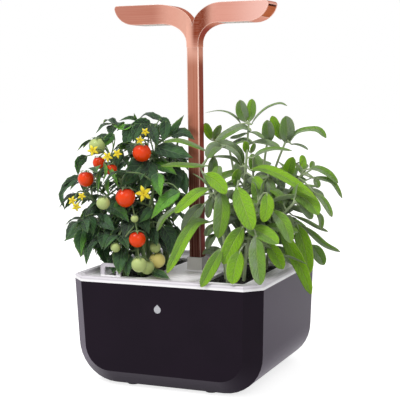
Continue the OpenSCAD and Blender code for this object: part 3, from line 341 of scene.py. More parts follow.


# %% [markdown]
# The lamp and its mast are painted copper: partly metal, partly a matt
# pigment. On top of that, this finish paints light and shade, which change
# along the part: painted shade on the far arm and round the bend, a paler
# painted light towards the near tip, and a deep red painted shade low on
# the mast, between the plants. The mast's side face gets painted shade and
# its front edge a painted highlight. Each step is a soft fade along an axis
# of the object's own space. Faces that look up are painted redder, as
# painted shade, and the sharp edges get a painted highlight: the bevelled
# ones carry the attribute "bevel_face", and the rest show where a normal
# that is rounded off over a short radius leaves the true one.

# %% Copper paint
def copper_paint(slot, streak_scale):
    f = Finish(slot, Metallic=0.75, Specular_IOR_Level=0.3, Specular_Tint=paint("#d08a6c"))
    x, y, z = f.axes(f.place)
    streaks = f.streaks(*streak_scale)

    # Painted light and shade along the arms: darker on the far arm, paler towards the near tip.
    arm = f.mix(x.fade(-0.042, -0.022), "#b57462", "#d49886")
    for low, high, colour in (
        (-0.02, -0.008, "#dca491"), (0.014, 0.03, "#d49484"), (0.035, 0.085, "#ecbcb0"),
    ):
        arm = f.mix(x.fade(low, high), arm, colour)
    # Painted shade round the bend.
    bend = x.fade(-0.003, 0.003) * (1 - x.fade(0.012, 0.026)) * z.fade(0.322, 0.345)
    arm = f.mix(bend, arm, "#7c3219")

    # Painted shade: a deep red low on the mast, between the plants.
    mast = f.mix(z.fade(0.165, 0.245), "#380a07", "#a46049")
    mast = f.mix(z.fade(0.245, 0.31), mast, "#ad6e58")
    # Painted shade on the mast's side face.
    side = y.fade(-0.0062, -0.0057) * x.fade(0.004, 0.006)
    mast = f.mix(side, mast, f.mix(z.fade(0.165, 0.25), "#3c0e0a", "#712e18"))
    # A painted highlight along the mast's front edge.
    edge = x.fade(0.0045, 0.0055) * (1 - side) * z.fade(0.2, 0.25)
    mast = f.mix(edge * 0.6, mast, "#e8b29e")

    base = f.mix(z.fade(0.312, 0.332), mast, arm)
    # A painted highlight on the sharp edges: the bevel faces, and where a rounded normal leaves the
    # true one.
    soft = f.node("ShaderNodeBevel", {"samples": 4}, {"Radius": 1.4 * MM})
    flat = f.node("ShaderNodeNewGeometry").other("Normal")
    facing = f.vector("DOT_PRODUCT", soft, flat).other("Value")
    edge_highlight = f.attribute("bevel_face").larger(1 - facing.fade(0.86, 0.99))
    # Painted shade: faces that look up are painted redder.
    base = f.mix(f.axes(flat)[2].fade(0.25, 0.55) * 0.8, base, "#a9583e")
    # The painted edge highlight, weaker low on the mast.
    base = f.mix(edge_highlight * (0.25 + 0.45 * z.fade(0.16, 0.24)), base, "#ffe0d2")
    f.surface(
        Base_Color=f.mix(streaks.fade(0.3, 0.7) * 0.16, base, "#e8b5a4"),
        Roughness=0.36 + 0.16 * (streaks - 0.5),
        Normal=f.bump(streaks, 0.00003),
    )


copper_paint("copper_paint", (14, 1300, 1300))
copper_paint("copper_mast", (1300, 1300, 14))

# %% [markdown]
# The rest are one of a kind: a solder mask with copper tracks under it, a
# cloth wick with a woven pattern, closed-cell foam, LEDs with a yellow
# phosphor, and the dark fibre of the growing blocks.

# %% Board, wick, foam, LED and soil finishes
f = Finish("board_green", Roughness=0.35)
tracks = f.node("ShaderNodeTexBrick", out=1, Vector=f.place, Scale=180.0)
f.surface(
    Base_Color=f.mix(tracks * 0.5 + f.noise(300) * 0.3, "#1c5a36", "#2f7a4a"),
    Normal=f.bump(tracks, 0.00005),
)

f = Finish("wick_cloth", Roughness=0.9, Sheen_Weight=0.3)
warp = f.node("ShaderNodeTexWave", out=1, Vector=f.place, Scale=320.0, Distortion=0.6)
f.surface(
    Base_Color=f.mix(warp * 0.5, "#dcd6c8", "#efeadd"),
    Normal=f.bump(warp + 0.4 * f.noise(900), 0.0003),
)

f = Finish("float_foam", Roughness=0.7)
cells = f.node("ShaderNodeTexVoronoi", Vector=f.place, Scale=900.0)
f.surface(Base_Color=f.mix(cells, "#ded9cc", "#f0ece1"), Normal=f.bump(cells, 0.0002))

f = Finish("led_yellow", Roughness=0.3)
phosphor = f.noise(1500)
f.surface(Base_Color=f.mix(phosphor, "#f0cf52", "#f8e48a"), Normal=f.bump(phosphor, 0.00003))

f = Finish("soil_dark", Roughness=0.95)
crumbs = f.noise(420, 5)
flecks = f.noise(1300, 2).fade(0.62, 0.75)
f.surface(
    Base_Color=f.mix(flecks * 0.35, f.mix(crumbs, "#050404", "#1a1411"), "#54473a"),
    Normal=f.bump(crumbs, 0.0016),
)
print(len(FINISH), "finishes for the hard parts")


# %% [markdown]
# ## Leaves, stems and fruit as finishes
#
# A leaf's pattern follows the leaf, not space, so it reads attributes that
# the growing tree leaves on the mesh: how far along the midrib a point
# lies, how far across, whether it is on the upper face, and the leaf's own
# tone. Veins are bright lines where a slanted coordinate passes whole
# numbers. Some light passes through a leaf, as it is thin.

# %% Leaf finishes
def leaf_finish(slot, tones, under, vein, veins, slant, quilt, sheen, roughness, wrinkle):
    """tones are the deep, the dark, the middle and the bright colour of a leaf; the deep one is
    painted shade.
    """
    f = Finish(
        slot, Sheen_Weight=sheen, Sheen_Roughness=0.4, Specular_IOR_Level=0.22,
        Subsurface_Weight=0.35, Subsurface_Radius=(1.0, 1.4, 0.4), Subsurface_Scale=0.002,
    )
    deep, dark, middle, bright = tones
    along, half, tone, top = (f.attribute(name) for name in ("along", "across", "tone", "top"))
    across, blotch = abs(half), f.noise(90, 3)
    # Painted shade: the level drops towards the leaf's foot and on one half of the leaf, on top of the
    # leaf's own tone and random blotches.
    level = tone + 0.5 * (blotch - 0.5) - 0.34 * (1 - along.fade(0.0, 0.5))
    level = level + 0.3 * half.fade(-0.1, 0.1) - 0.13
    base = f.mix(level.fade(-0.45, 0.05), deep, dark)
    base = f.mix(level.fade(0.0, 0.5), base, middle)
    base = f.mix(level.fade(0.45, 1.0), base, bright)
    slanted = along * veins - across * slant
    side = 1 - abs(slanted.maths("FRACT", slanted) - 0.5).fade(0.03, 0.16)
    midrib = 1 - across.fade(0.015, 0.1)
    lines = (side * 0.55 * (1 - across.fade(0.7, 1.0))).larger(midrib)
    cells = f.node("ShaderNodeTexVoronoi", Vector=f.place, Scale=quilt)
    base = f.mix(lines * 0.35, base, vein)
    base = f.mix(cells.fade(0.25, 0.75) * 0.2, base, middle)
    base = f.mix(across.fade(0.9, 1.0) * 0.2, base, vein)
    f.surface(
        Base_Color=f.mix(1 - top.fade(-0.1, 0.1), base, under),
        Roughness=roughness + 0.15 * (blotch - 0.5),
        Normal=f.bump(0.5 * cells + 0.3 * blotch - 0.8 * lines, wrinkle),
    )


leaf_finish(
    "sage_leaf", ("#26361a", "#84927a", "#668a38", "#82b21c"), "#7a8c64", "#a9bb70",
    9.0, 2.2, 620.0, 0.04, 0.6, 0.0009,
)
leaf_finish(
    "tomato_leaf", ("#0b140d", "#1c2f1f", "#385a37", "#62a02a"), "#3d563a", "#6a8a5c",
    6.0, 1.6, 420.0, 0.12, 0.5, 0.0006,
)


# %% Stem, fruit and petal finishes
def stem_finish(slot, dark, light, fuzz):
    f = Finish(slot, Roughness=0.6, Sheen_Weight=fuzz)
    streaks = f.streaks(900, 900, 90, 3)
    f.surface(Base_Color=f.mix(streaks, dark, light), Normal=f.bump(streaks, 0.0002))


stem_finish("sage_stem", "#7d8f62", "#a9b98c", 0.4)
stem_finish("tomato_stem", "#4c6838", "#7d9658", 0.3)


def fruit_finish(slot, skin, blush, roughness):
    """Shiny skin; a second colour where the attribute "ripe" is high."""
    f = Finish(slot, Specular_IOR_Level=0.16, Coat_Roughness=0.06)
    mottle = f.noise(60, 3)
    ripe = f.attribute("ripe") + 0.35 * (mottle - 0.5)
    f.surface(
        Base_Color=f.mix(ripe.fade(0.2, 0.8), skin, blush),
        Roughness=roughness + 0.1 * mottle,
        Coat_Weight=0.08 + 0.12 * mottle,
        Normal=f.bump(f.noise(700, 2), 0.00003),
    )


fruit_finish("tomato_red", "#9c0c04", "#f04406", 0.22)
fruit_finish("tomato_green", "#b4c47c", "#fff092", 0.3)

f = Finish("petal_yellow", Roughness=0.55, Sheen_Weight=0.3)
f.surface(
    Base_Color=f.mix(f.attribute("along") + 0.3 * (f.noise(500) - 0.5), "#e8c800", "#f6ea24"),
    Normal=f.bump(f.noise(900), 0.0001),
)
print(len(FINISH), "finishes in all")

for node, cad in frame["nodes"].items():
    cad.data.materials.clear()
    cad.data.materials.append(FINISH[SLOT_OF[node]])


# %% [markdown]
# ## Hard parts with rounded edges
#
# No moulded or milled edge is perfectly sharp, and a thin bright line of
# light along each edge is what makes a part look real. The CAD mesh is
# copied and merged, flat facets are joined, the sharp edges get a small
# bevel, and weighted normals keep the flat faces flat. The mast and the
# lamp meet in a seam, whose edges stay sharp. The attribute "bevel_face" is
# 1 on the bevel's own faces, so that a finish can tell an edge from a face;
# the copper paint puts a painted highlight there.

# %% Adding a piece
def add_piece(name, mesh, body, slot, nodes=(), material=None):
    """Set a mesh in the scene as a piece that rides on a body."""
    piece = stand(name, mesh)
    mesh.materials.clear()
    mesh.materials.append(material or FINISH[slot])
    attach(piece, body)
    if nodes:
        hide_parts(*nodes)
    print(name, len(mesh.polygons), "faces")


def baked(thing):
    """The plain mesh that an object's modifiers make."""
    bpy.context.view_layer.update()
    graph = bpy.context.evaluated_depsgraph_get()
    mesh = bpy.data.meshes.new_from_object(thing.evaluated_get(graph), depsgraph=graph)
    bpy.data.objects.remove(thing)
    return mesh


# %% Rounded copies of CAD nodes
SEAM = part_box("mast_tube")[1].z
MERGED, AT_SEAM = 0.02 * MM, 0.1 * MM
FLAT, SHARP = math.radians(0.6), math.radians(28)


def rounded(node, name, radius, segments=2, material=None):
    """A copy of a CAD node whose sharp edges have a bevel of radius mm."""
    work = bmesh.new()
    work.from_mesh(frame["nodes"][node].data)
    bmesh.ops.remove_doubles(work, verts=work.verts, dist=MERGED)
    bmesh.ops.dissolve_limit(work, angle_limit=FLAT, verts=work.verts, edges=work.edges)
    for face in work.faces:
        face.smooth = True
    weight = work.edges.layers.float.new("bevel_weight_edge")
    for edge in work.edges:
        at_seam = all(abs(v.co.z - SEAM) < AT_SEAM for v in edge.verts)
        sharp = len(edge.link_faces) == 2 and edge.calc_face_angle() > SHARP
        edge[weight] = 1.0 if sharp and not at_seam else 0.0
    mesh = bpy.data.meshes.new(name)
    work.to_mesh(mesh)
    work.free()
    slot = SLOT_OF[node]
    for _ in ("faces", "bevels"):
        mesh.materials.append(FINISH[slot])
    thing = stand(name + "_work", mesh)
    bevel = thing.modifiers.new("edges", "BEVEL")
    bevel.width, bevel.segments = radius * MM, segments
    bevel.limit_method, bevel.material = "WEIGHT", 1
    bevel.use_clamp_overlap = True
    thing.modifiers.new("flats", "WEIGHTED_NORMAL").weight = 50
    mesh = baked(thing)
    bevel_face = mesh.attributes.new("bevel_face", "FLOAT", "FACE")
    for face in mesh.polygons:
        bevel_face.data[face.index].value = face.material_index
        face.material_index = 0
    add_piece(name, mesh, BODY_OF[node], slot, [node], material)


for node, name, radius in (
    ("outer_shell", "planter_shell", 0.7),
    ("deck", "white_deck", 0.5),
    ("mast_collar", "mast_sleeve", 0.4),
    ("pod_tray_left", "left_tray", 0.35),
    ("pod_tray_right", "right_tray", 0.35),
    ("filler_cap", "filler_flap", 0.35),
    ("lamp_housing", "lamp_body", 0.6),
    ("end_cap_left", "left_arm_end", 0.3),
    ("end_cap_right", "right_arm_end", 0.3),
    ("service_panel", "rear_panel", 0.3),
    ("power_button", "push_button", 0.3),
    ("front_badge", "water_drop_badge", 0.15),
):
    rounded(node, name, radius)
rounded("mast_tube", "square_mast", 0.9, 3, material=FINISH["copper_mast"])

# %% [markdown]
# ## One tree that grows everything green
#
# A leaf, a petal, a sepal and a stem are all a shape drawn along a path. So
# one Geometry Nodes tree makes them all. It gets a mesh of loose lines with
# four attributes on their points: `half`, half the width there, `side`, the
# direction across, `lift`, the direction that the upper face looks in, and
# `tone`. It sweeps a flattened ring along each line, which gives a thin
# closed blade, and then ripples the blade's rims.

# %% Trees with named inputs
def new_tree(name, **inputs):
    """A Geometry Nodes tree with named inputs and one mesh as its output."""
    tree = bpy.data.node_groups.new(name, "GeometryNodeTree")
    for socket, kind in spaced(inputs).items():
        tree.interface.new_socket(socket, in_out="INPUT", socket_type="NodeSocket" + kind)
    tree.interface.new_socket("Mesh", in_out="OUTPUT", socket_type="NodeSocketGeometry")
    b = Bench(tree)
    group = b.node("NodeGroupInput")
    return b, [group.other(socket) for socket in spaced(inputs)]


def end_tree(b, shape, material):
    """The last steps of both trees: real geometry with its material."""
    shape = b.node("GeometryNodeRealizeInstances", Geometry=shape)
    shape = b.node("GeometryNodeSetMaterial", Geometry=shape, Material=material)
    b.node("NodeGroupOutput", None, {"Mesh": shape})
    return b.tree


def run_tree(tree, mesh, **inputs):
    """The mesh that a tree makes of the given one."""
    key = {item.name: item.identifier for item in tree.interface.items_tree}
    thing = stand(mesh.name + "_before", mesh)
    modifier = thing.modifiers.new("tree", "NODES")
    modifier.node_group = tree
    for socket, value in spaced(inputs).items():
        modifier[key[socket]] = value
    return baked(thing)


# %% The growing tree
def growing_tree():
    b, (paths, sides, thickness, fold, ripple, ripple_scale, material) = new_tree(
        "blades_along_paths", Paths="Geometry", Sides="Int", Thickness="Float", Fold="Float",
        Ripple="Float", Ripple_Scale="Float", Material="Material",
    )

    def named(name, kind="FLOAT"):
        return b.node("GeometryNodeInputNamedAttribute", {"data_type": kind}, Name=name)

    def keep(shape, name, value):
        return b.node(
            "GeometryNodeStoreNamedAttribute", {"data_type": "FLOAT", "domain": "POINT"},
            Geometry=shape, Name=name, Value=value,
        )

    curves = b.node("GeometryNodeMeshToCurve", Mesh=paths)
    curves = keep(curves, "along", b.node("GeometryNodeSplineParameter"))
    side = named("side", "FLOAT_VECTOR")
    curves = b.node("GeometryNodeSetCurveNormal", {"mode": "FREE"}, Curve=curves, Normal=side)

    ring = b.node(
        "GeometryNodeCurvePrimitiveCircle", {"mode": "RADIUS"}, Resolution=sides, Radius=1.0
    )
    x, y, _ = b.axes(b.node("GeometryNodeInputPosition"))
    ring = keep(keep(ring, "across", x), "top", y)
    flattened = b.node("ShaderNodeCombineXYZ", X=x, Y=y * thickness + abs(x) * fold)
    ring = b.node("GeometryNodeSetPosition", Geometry=ring, Position=flattened)

    blades = b.node(
        "GeometryNodeCurveToMesh",
        Curve=curves, Profile_Curve=ring, Scale=named("half"), Fill_Caps=True,
    )
    shift = b.node("ShaderNodeCombineXYZ", X=named("tone") * 3.0, Z=named("tone"))
    spot = b.vector("ADD", b.node("GeometryNodeInputPosition"), shift)
    wave = b.node("ShaderNodeTexNoise", Vector=spot, Scale=ripple_scale, Detail=1.0) - 0.5
    rise = wave * abs(named("across")) * named("half") * ripple
    lift = named("lift", "FLOAT_VECTOR")
    push = b.node("ShaderNodeVectorMath", {"operation": "SCALE"}, {0: lift}, Scale=rise)
    blades = b.node("GeometryNodeSetPosition", Geometry=blades, Offset=push)
    blades = b.node("GeometryNodeSetShadeSmooth", Geometry=blades)
    return end_tree(b, blades, material)


GROWING = growing_tree()
print("the tree has", len(GROWING.nodes), "nodes")


# %% [markdown]
# In Python a path is drawn through a few points, and the width comes from
# an outline: a list of shares of the full width at equal steps from foot to
# tip. A sage leaf is a long oval. A tomato leaflet has coarse teeth, so its
# outline goes up and down.

# %% Paths and outlines
def through(points, steps):
    """Points spaced along a smooth line through the given ones."""
    p = [np.array(q, float) for q in points]
    if len(p) == 2:
        p.insert(1, (p[0] + p[1]) / 2)
    p = [2 * p[0] - p[1], *p, 2 * p[-1] - p[-2]]
    out = []
    for s in np.linspace(0, len(p) - 3, steps):
        i = min(int(s), len(p) - 4)
        t = s - i
        a, b, c, d = p[i:i + 4]
        out.append(0.5 * (2 * b + (c - a) * t + (2 * a - 5 * b + 4 * c - d) * t ** 2
                          + (3 * b - a - 3 * c + d) * t ** 3))
    return np.array(out)


SAGE_OUTLINE = (0.14, 0.38, 0.6, 0.77, 0.88, 0.95, 0.99, 1.0, 0.99, 0.96, 0.91, 0.84, 0.73, 0.55, 0.14)
TOMATO_OUTLINE = (0.14, 0.58, 0.88, 0.86, 1.0, 0.9, 0.92, 0.74, 0.7, 0.48, 0.36, 0.16, 0.02)
BLADE_OUTLINE = (0.3, 0.8, 1.0, 0.97, 0.8, 0.46, 0.04)


def metres(*points):
    """Points in metres from points in mm."""
    return [p * MM for p in points]


def unit(v):
    v = np.array(v, float)
    return v / max(1e-9, np.linalg.norm(v))


# %% A bunch of paths
THINNEST = 0.12 * MM


class Bunch:
    """Paths that are grown into one mesh."""

    def __init__(self):
        self.rows, self.edges = [], []

    def blade(self, points, width, face, outline, tone=0.5, twist=0.0):
        """A blade of the given full width whose upper face looks towards face."""
        line = through(points, len(outline))
        first = len(self.rows)
        tangents = np.gradient(line, axis=0)
        for i, (p, tangent, share) in enumerate(zip(line, tangents, outline)):
            tangent = unit(tangent)
            turn = twist * i / (len(outline) - 1)
            side = unit(np.cross(face, tangent))
            lift = np.cross(tangent, side)
            side, lift = (side * math.cos(turn) + lift * math.sin(turn),
                          lift * math.cos(turn) - side * math.sin(turn))
            half = max(THINNEST, width / 2 * share)
            self.rows.append((*p, *side, *lift, half, tone))
        self.edges += [(i, i + 1) for i in range(first, len(self.rows) - 1)]

    def stalk(self, points, r1, r2, steps=6):
        """A round stem whose radius goes from r1 to r2."""
        outline = [r1 + (r2 - r1) * i / (steps - 1) for i in range(steps)]
        along = unit(np.array(points[-1]) - np.array(points[0]))
        face = (0, 1, 0) if abs(along[1]) < 0.8 else (1, 0, 0)
        self.blade(points, 2.0, face, outline)

    def piece(self, name, body, slot, nodes, **inputs):
        """Grow the paths and set the mesh in the scene."""
        data = np.array(self.rows, np.float32)
        mesh = bpy.data.meshes.new(name)
        mesh.from_pydata(data[:, :3].tolist(), self.edges, [])
        for key, part in (("side", data[:, 3:6]), ("lift", data[:, 6:9])):
            layer = mesh.attributes.new(key, "FLOAT_VECTOR", "POINT")
            layer.data.foreach_set("vector", np.ascontiguousarray(part).ravel())
        for key, part in (("half", data[:, 9]), ("tone", data[:, 10])):
            layer = mesh.attributes.new(key, "FLOAT", "POINT")
            layer.data.foreach_set("value", np.ascontiguousarray(part))
        inputs = {"Fold": 0.0, "Ripple": 0.0, "Ripple_Scale": 60.0, **inputs}
        grown = run_tree(GROWING, mesh, Material=FINISH[slot], **inputs)
        work = bmesh.new()
        work.from_mesh(grown)
        if work.calc_volume(signed=True) < 0:
            bmesh.ops.reverse_faces(work, faces=work.faces)
            work.to_mesh(grown)
        work.free()
        grown.name = name
        add_piece(name, grown, body, slot, nodes)


# %% [markdown]
# ## Shoots
#
# Every leaf must hang on something. Each plant has a handful of shoots that
# rise from its growing block and bend outwards. They stand where the CAD
# stems stand: a shoot is a foot on the soil and a top, and its knee pulls
# the curve upright near the soil.

# %% Shoots of both plants
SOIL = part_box("growing_block_left")[1].z / MM

SAGE_SHOOTS = [
    (50, 0, 58, -2, 256), (58, 16, 92, 14, 240), (42, 24, 24, 26, 238),
    (42, -26, 20, -36, 214), (50, -42, 44, -58, 192), (64, 6, 110, 6, 206),
    (62, -30, 86, -50, 186), (60, 40, 98, 46, 196), (44, 46, 40, 60, 222),
    (52, -12, 66, -28, 232), (54, 28, 66, 38, 250), (66, -10, 118, -40, 184),
]
TOMATO_SHOOTS = [
    (-50, -34, -76, -42, 224), (-54, -4, -66, -4, 240), (-52, 34, -76, 44, 226),
    (-46, -16, -36, -20, 234), (-60, -46, -108, -36, 188), (-64, 12, -112, 4, 184),
    (-46, 24, -36, 36, 238), (-62, 44, -100, 60, 178), (-44, -40, -22, -48, 206),
]


def on_shoot(shoot, t):
    """Point of a shoot, in mm, from its foot at 0 to its top at 1."""
    foot = np.array([shoot[0], shoot[1], SOIL - 2], float)
    top = np.array(shoot[2:], float)
    knee = foot + (top - foot) * (0.2, 0.2, 0.6)
    a, b = foot + (knee - foot) * t, knee + (top - knee) * t
    return a + (b - a) * t


def shoot_samples(shoots):
    """Points of all shoots, in mm."""
    return [on_shoot(shoot, t) for shoot in shoots for t in np.linspace(0.08, 1, 24)]


def draw_shoots(stalks, shoots, r1, r2):
    """Each shoot's own stem, from the soil to its top."""
    for shoot in shoots:
        line = metres(*[on_shoot(shoot, t) for t in np.linspace(0, 1, 7)])
        stalks.stalk(line, r1, r2, 14)


# %% A leaf placed by where it shows
def carrier(samples, u, v, depth):
    """The point of the shoots nearest to a point of the view and a depth."""
    def gap(sample):
        x, y, _ = shows(sample * MM)
        return math.hypot(x - u, y - v) + 0.3 * abs(sample[1] - depth)
    return min(samples, key=gap)


TOWARDS = -np.array(AHEAD)
# Where a leaf's upper face looks: to the view, up, between both, to the left
# and up, or nearly up.
FACES = {
    "v": unit(TOWARDS), "u": unit((0, -0.15, 1)), "b": unit(TOWARDS + (0, 0, 1.0)),
    "l": unit(TOWARDS + np.array((-0.8, 0, 0.5))), "h": unit(TOWARDS * 0.55 + (0, 0, 1.0)),
}


def seen_leaf(leaves, stalks, samples, row, outline, stalk_r):
    """A leaf placed by where it shows, on a branch from the nearest shoot."""
    path, width, depth, tone, look = row
    anchor = carrier(samples, *path[0], depth)
    lean = 0.45 * sum(math.dist(a, b) for a, b in zip(path, path[1:]))
    start = depth + max(-lean, min(lean, anchor[1] - depth))
    n = len(path) - 1
    points = [at(u, v, start + (depth - start) * i / n) for i, (u, v) in enumerate(path)]
    face = FACES[look]
    middle = unit(np.array(points[-1]) - np.array(points[0]))
    side = unit(np.cross(face, middle))
    in_view = side - TOWARDS * side.dot(TOWARDS)
    flat = middle - TOWARDS * middle.dot(TOWARDS)
    visible = max(0.3, np.linalg.norm(np.cross(unit(flat), in_view)))
    scale = (points[0] - EYE).length * SENSOR / LENS / VIEW
    length = sum((points[i + 1] - points[i]).length for i in range(n))
    leaves.blade(points, min(width * scale / visible, length * 0.62), face, outline, tone)
    root, foot = Vector(anchor * MM), points[0]
    lead = foot + (foot - points[1]).normalized() * 0.3 * (root - foot).length
    if (root - foot).length > MM:
        bow = (root + lead) / 2 + Vector((0, 0, 1.5 * MM))
        stalks.stalk([root, bow, foot], stalk_r, stalk_r * 0.7)
    inner = foot + (points[1] - foot) * 0.25
    stalks.stalk([foot, (foot + inner) / 2, inner], stalk_r * 0.7, stalk_r * 0.45, 3)


print(len(SAGE_SHOOTS), "sage shoots,", len(TOMATO_SHOOTS), "tomato shoots")

# %% [markdown]
# ## The sage
#
# Long soft leaves sit in crossed pairs on the shoots: small grey-green ones
# stand up at the tops, large bright ones hang over the front. The large
# ones give the plant its look, so each is listed one by one: its path in
# the view, its width there, its depth, its tone and which way it faces.

# %% Sage leaves placed one by one
SAGE_SEEN = [
    # crowns of the shoots
    (((246, 122), (242, 112), (240, 100)), 12.5, -8, 0.2, "v"),
    (((249, 122), (251, 111), (252, 99)), 10, 4, 0.6, "v"),
    (((241, 124), (236, 118), (228, 113), (218, 111), (205, 113)), 2.2, 0, 0.1, "u"),
    (((251, 125), (258, 116), (268, 108), (279, 104), (287, 106)), 3.2, 5, 0.15, "u"),
    (((211, 140), (208, 131), (205, 123)), 8.5, 20, 0.8, "v"),
    (((213, 140), (217, 132), (221, 125)), 7.5, 20, 0.1, "v"),
    (((251, 131), (242, 127), (231, 132), (222, 138), (216, 145)), 8, -12, 0.2, "b"),
    (((250, 132), (257, 134), (264, 139)), 4.5, -6, 0.0, "h"),
    (((248, 133), (238, 137), (230, 138)), 4.5, -4, 0.1, "h"),
    (((268, 143), (268, 132), (267, 120)), 13, 0, 0.15, "v"),
    (((280, 139), (276, 128), (272, 116)), 10, 18, 0.85, "v"),
    (((286, 143), (287, 130), (286, 116)), 15.5, 8, 0.15, "v"),
    (((289, 143), (296, 134), (306, 130), (318, 130), (326, 138)), 5.5, 12, 0.4, "h"),
    (((291, 144), (300, 146), (308, 150)), 3, 16, 0.0, "u"),
    (((252, 142), (265, 143), (280, 148)), 6.5, -2, 0.05, "h"),
    (((254, 144), (243, 141), (229, 146)), 5.5, -6, 0.05, "h"),
    (((253, 158), (262, 152), (274, 149), (292, 151)), 4.5, -14, 0.3, "h"),
    (((243, 166), (239, 154), (228, 146), (215, 146), (208, 157)), 9.5, -30, -0.1, "b"),
    (((246, 153), (246, 147), (245, 141)), 7, -12, 0.85, "v"),
    (((251, 153), (253, 148), (255, 143)), 5, -10, 0.3, "v"),
    (((241, 167), (233, 159), (222, 157), (209, 158)), 4, -14, 0.1, "h"),
    (((214, 156), (213, 166), (211, 176)), 10, -20, 0.15, "v"),
    (((208, 152), (192, 145), (178, 141), (163, 142)), 5, -46, 0.45, "b"),
    (((208, 166), (192, 166), (176, 165), (161, 166)), 5.5, -40, 0.5, "b"),
    (((287, 178), (289, 168), (293, 157)), 12, -8, 0.85, "v"),
    (((303, 171), (303, 163), (302, 155)), 7.5, 16, 0.85, "v"),
    (((311, 170), (312, 165), (313, 161)), 5.5, 20, 0.3, "v"),
    (((309, 169), (318, 169), (328, 174), (338, 183)), 7.5, 14, 0.4, "b"),
    (((312, 178), (323, 179), (333, 183), (342, 198)), 5.5, 20, 0.3, "b"),
    (((314, 178), (317, 183), (318, 188)), 9, 8, 0.2, "v"),
    (((303, 175), (300, 169), (296, 164)), 5, 4, 0.1, "v"),
    (((250, 170), (263, 169), (280, 175), (297, 185), (315, 198)), 10, -30, 0.9, "b"),
    # bright leaves over the front
    (((205, 174), (213, 179), (220, 185), (226, 194)), 15, -66, 1.0, "v"),
    (((237, 186), (236, 178), (239, 169)), 9, -36, 0.5, "v"),
    (((222, 147), (213, 148), (207, 158)), 12, -46, 0.15, "v"),
    (((217, 225), (210, 229), (205, 236)), 8, -34, 0.0, "v"),
    (((216, 234), (210, 240), (207, 249)), 8, -36, -0.05, "v"),
    (((213, 196), (209, 206), (208, 218)), 8, -36, 0.05, "v"),
    (((253, 177), (258, 183), (262, 189)), 11, -46, 0.85, "v"),
    (((268, 178), (271, 188), (271, 198)), 10, -30, 0.2, "v"),
    (((210, 188), (197, 194), (186, 203), (175, 213)), 11, -72, 0.95, "b"),
    (((184, 204), (170, 213), (162, 221), (157, 231)), 6, -60, 0.25, "b"),
    (((210, 222), (197, 223), (186, 236), (177, 254), (167, 273)), 11.5, -84, 0.7, "b"),
    (((204, 204), (192, 216), (183, 234)), 14, -48, 0.1, "v"),
    (((221, 190), (222, 212), (218, 238)), 17, -64, 0.5, "v"),
    (((237, 187), (244, 207), (252, 230)), 20, -78, 0.9, "v"),
    (((267, 193), (267, 207), (263, 222)), 14, -64, 1.0, "v"),
    (((243, 227), (233, 243), (223, 264)), 17, -80, 0.9, "v"),
    (((247, 228), (262, 234), (278, 244)), 15, -74, 0.6, "b"),
    (((272, 210), (284, 224), (291, 243)), 14, -60, 0.5, "v"),
    (((240, 251), (235, 267), (232, 284)), 17, -94, 0.95, "v"),
    (((222, 248), (212, 266), (201, 287)), 13, -97, 0.7, "v"),
    (((256, 235), (257, 258), (260, 285)), 17, -95, 0.4, "v"),
    (((269, 243), (276, 256), (283, 269)), 14, -50, 0.85, "v"),
    (((279, 227), (290, 247), (301, 268), (311, 294)), 14, -10, 0.9, "v"),
    (((297, 224), (304, 246), (309, 274)), 16, 5, 0.85, "v"),
    (((299, 224), (312, 234), (325, 245), (340, 252)), 6.5, 30, 0.2, "b"),
    (((311, 245), (318, 254), (324, 265)), 12.5, 20, 0.25, "v"),
    (((292, 215), (306, 221), (319, 228), (328, 232)), 4, 30, 0.0, "b"),
    (((280, 197), (297, 196), (309, 203), (318, 215)), 15, -30, 0.6, "b"),
    (((297, 204), (306, 210), (312, 219)), 9.5, -20, 0.1, "v"),
    (((313, 191), (322, 199), (328, 208), (332, 217)), 7, 0, 0.25, "v"),
    (((316, 211), (321, 219), (321, 230)), 6, 10, 0.15, "v"),
]

sage_samples = shoot_samples(SAGE_SHOOTS)
sage_leaves, sage_stalks = Bunch(), Bunch()
for row in SAGE_SEEN:
    seen_leaf(sage_leaves, sage_stalks, sage_samples, row, SAGE_OUTLINE, 0.0011)
print(len(SAGE_SEEN), "leaves placed by hand")


# %% [markdown]
# The rest of the plant follows the rule of the real one: pairs of leaves,
# each pair turned a quarter against the last, shorter and more upright
# towards the top. Leaves that would grow into the mast or the other plant
# are left out, and so are those that would stand in front of the ones
# listed one by one. Small leaves close to the shoots fill the middle, in a
# low tone that is painted shade.

# %% Room for a leaf
def sin_of(degrees):
    return math.sin(math.radians(degrees))


def reach(length, turn, rise):
    """A step in mm, turned about Z and raised by so many degrees."""
    turn, rise = math.radians(turn), math.radians(rise)
    flat = math.cos(rise)
    return length * np.array([math.cos(turn) * flat, math.sin(turn) * flat, math.sin(rise)])


def upward(along, nudge=1e-6):
    """The way up, square to a direction."""
    return unit(np.cross(along, np.cross((0, 0, 1), along)) + nudge)


# A plant's bush is an ellipsoid beside the mast; SAGE and TOMATO are the
# sides of X that they stand on. All of these are in mm.
SAGE, TOMATO = 1, -1
BUSH_X, BUSH_Z, BUSH_W, BUSH_D, BUSH_H = 74, 178, 76, 98, {SAGE: 106, TOMATO: 86}
BUSH_SLACK = 1.1
HALF_W, HALF_D, OUTSIDE = 100, 93, 3
REACH_X, REACH_Y, OVER_DECK, BESIDE_PLANTER = 148, 97, 114, 60
MAST_GAP, CAP_GAP, CAP_FRONT, CAP_TOP = 12, 27, 50, 146
FRONT_EDGE, FRONT_GAP = -20, 1.5


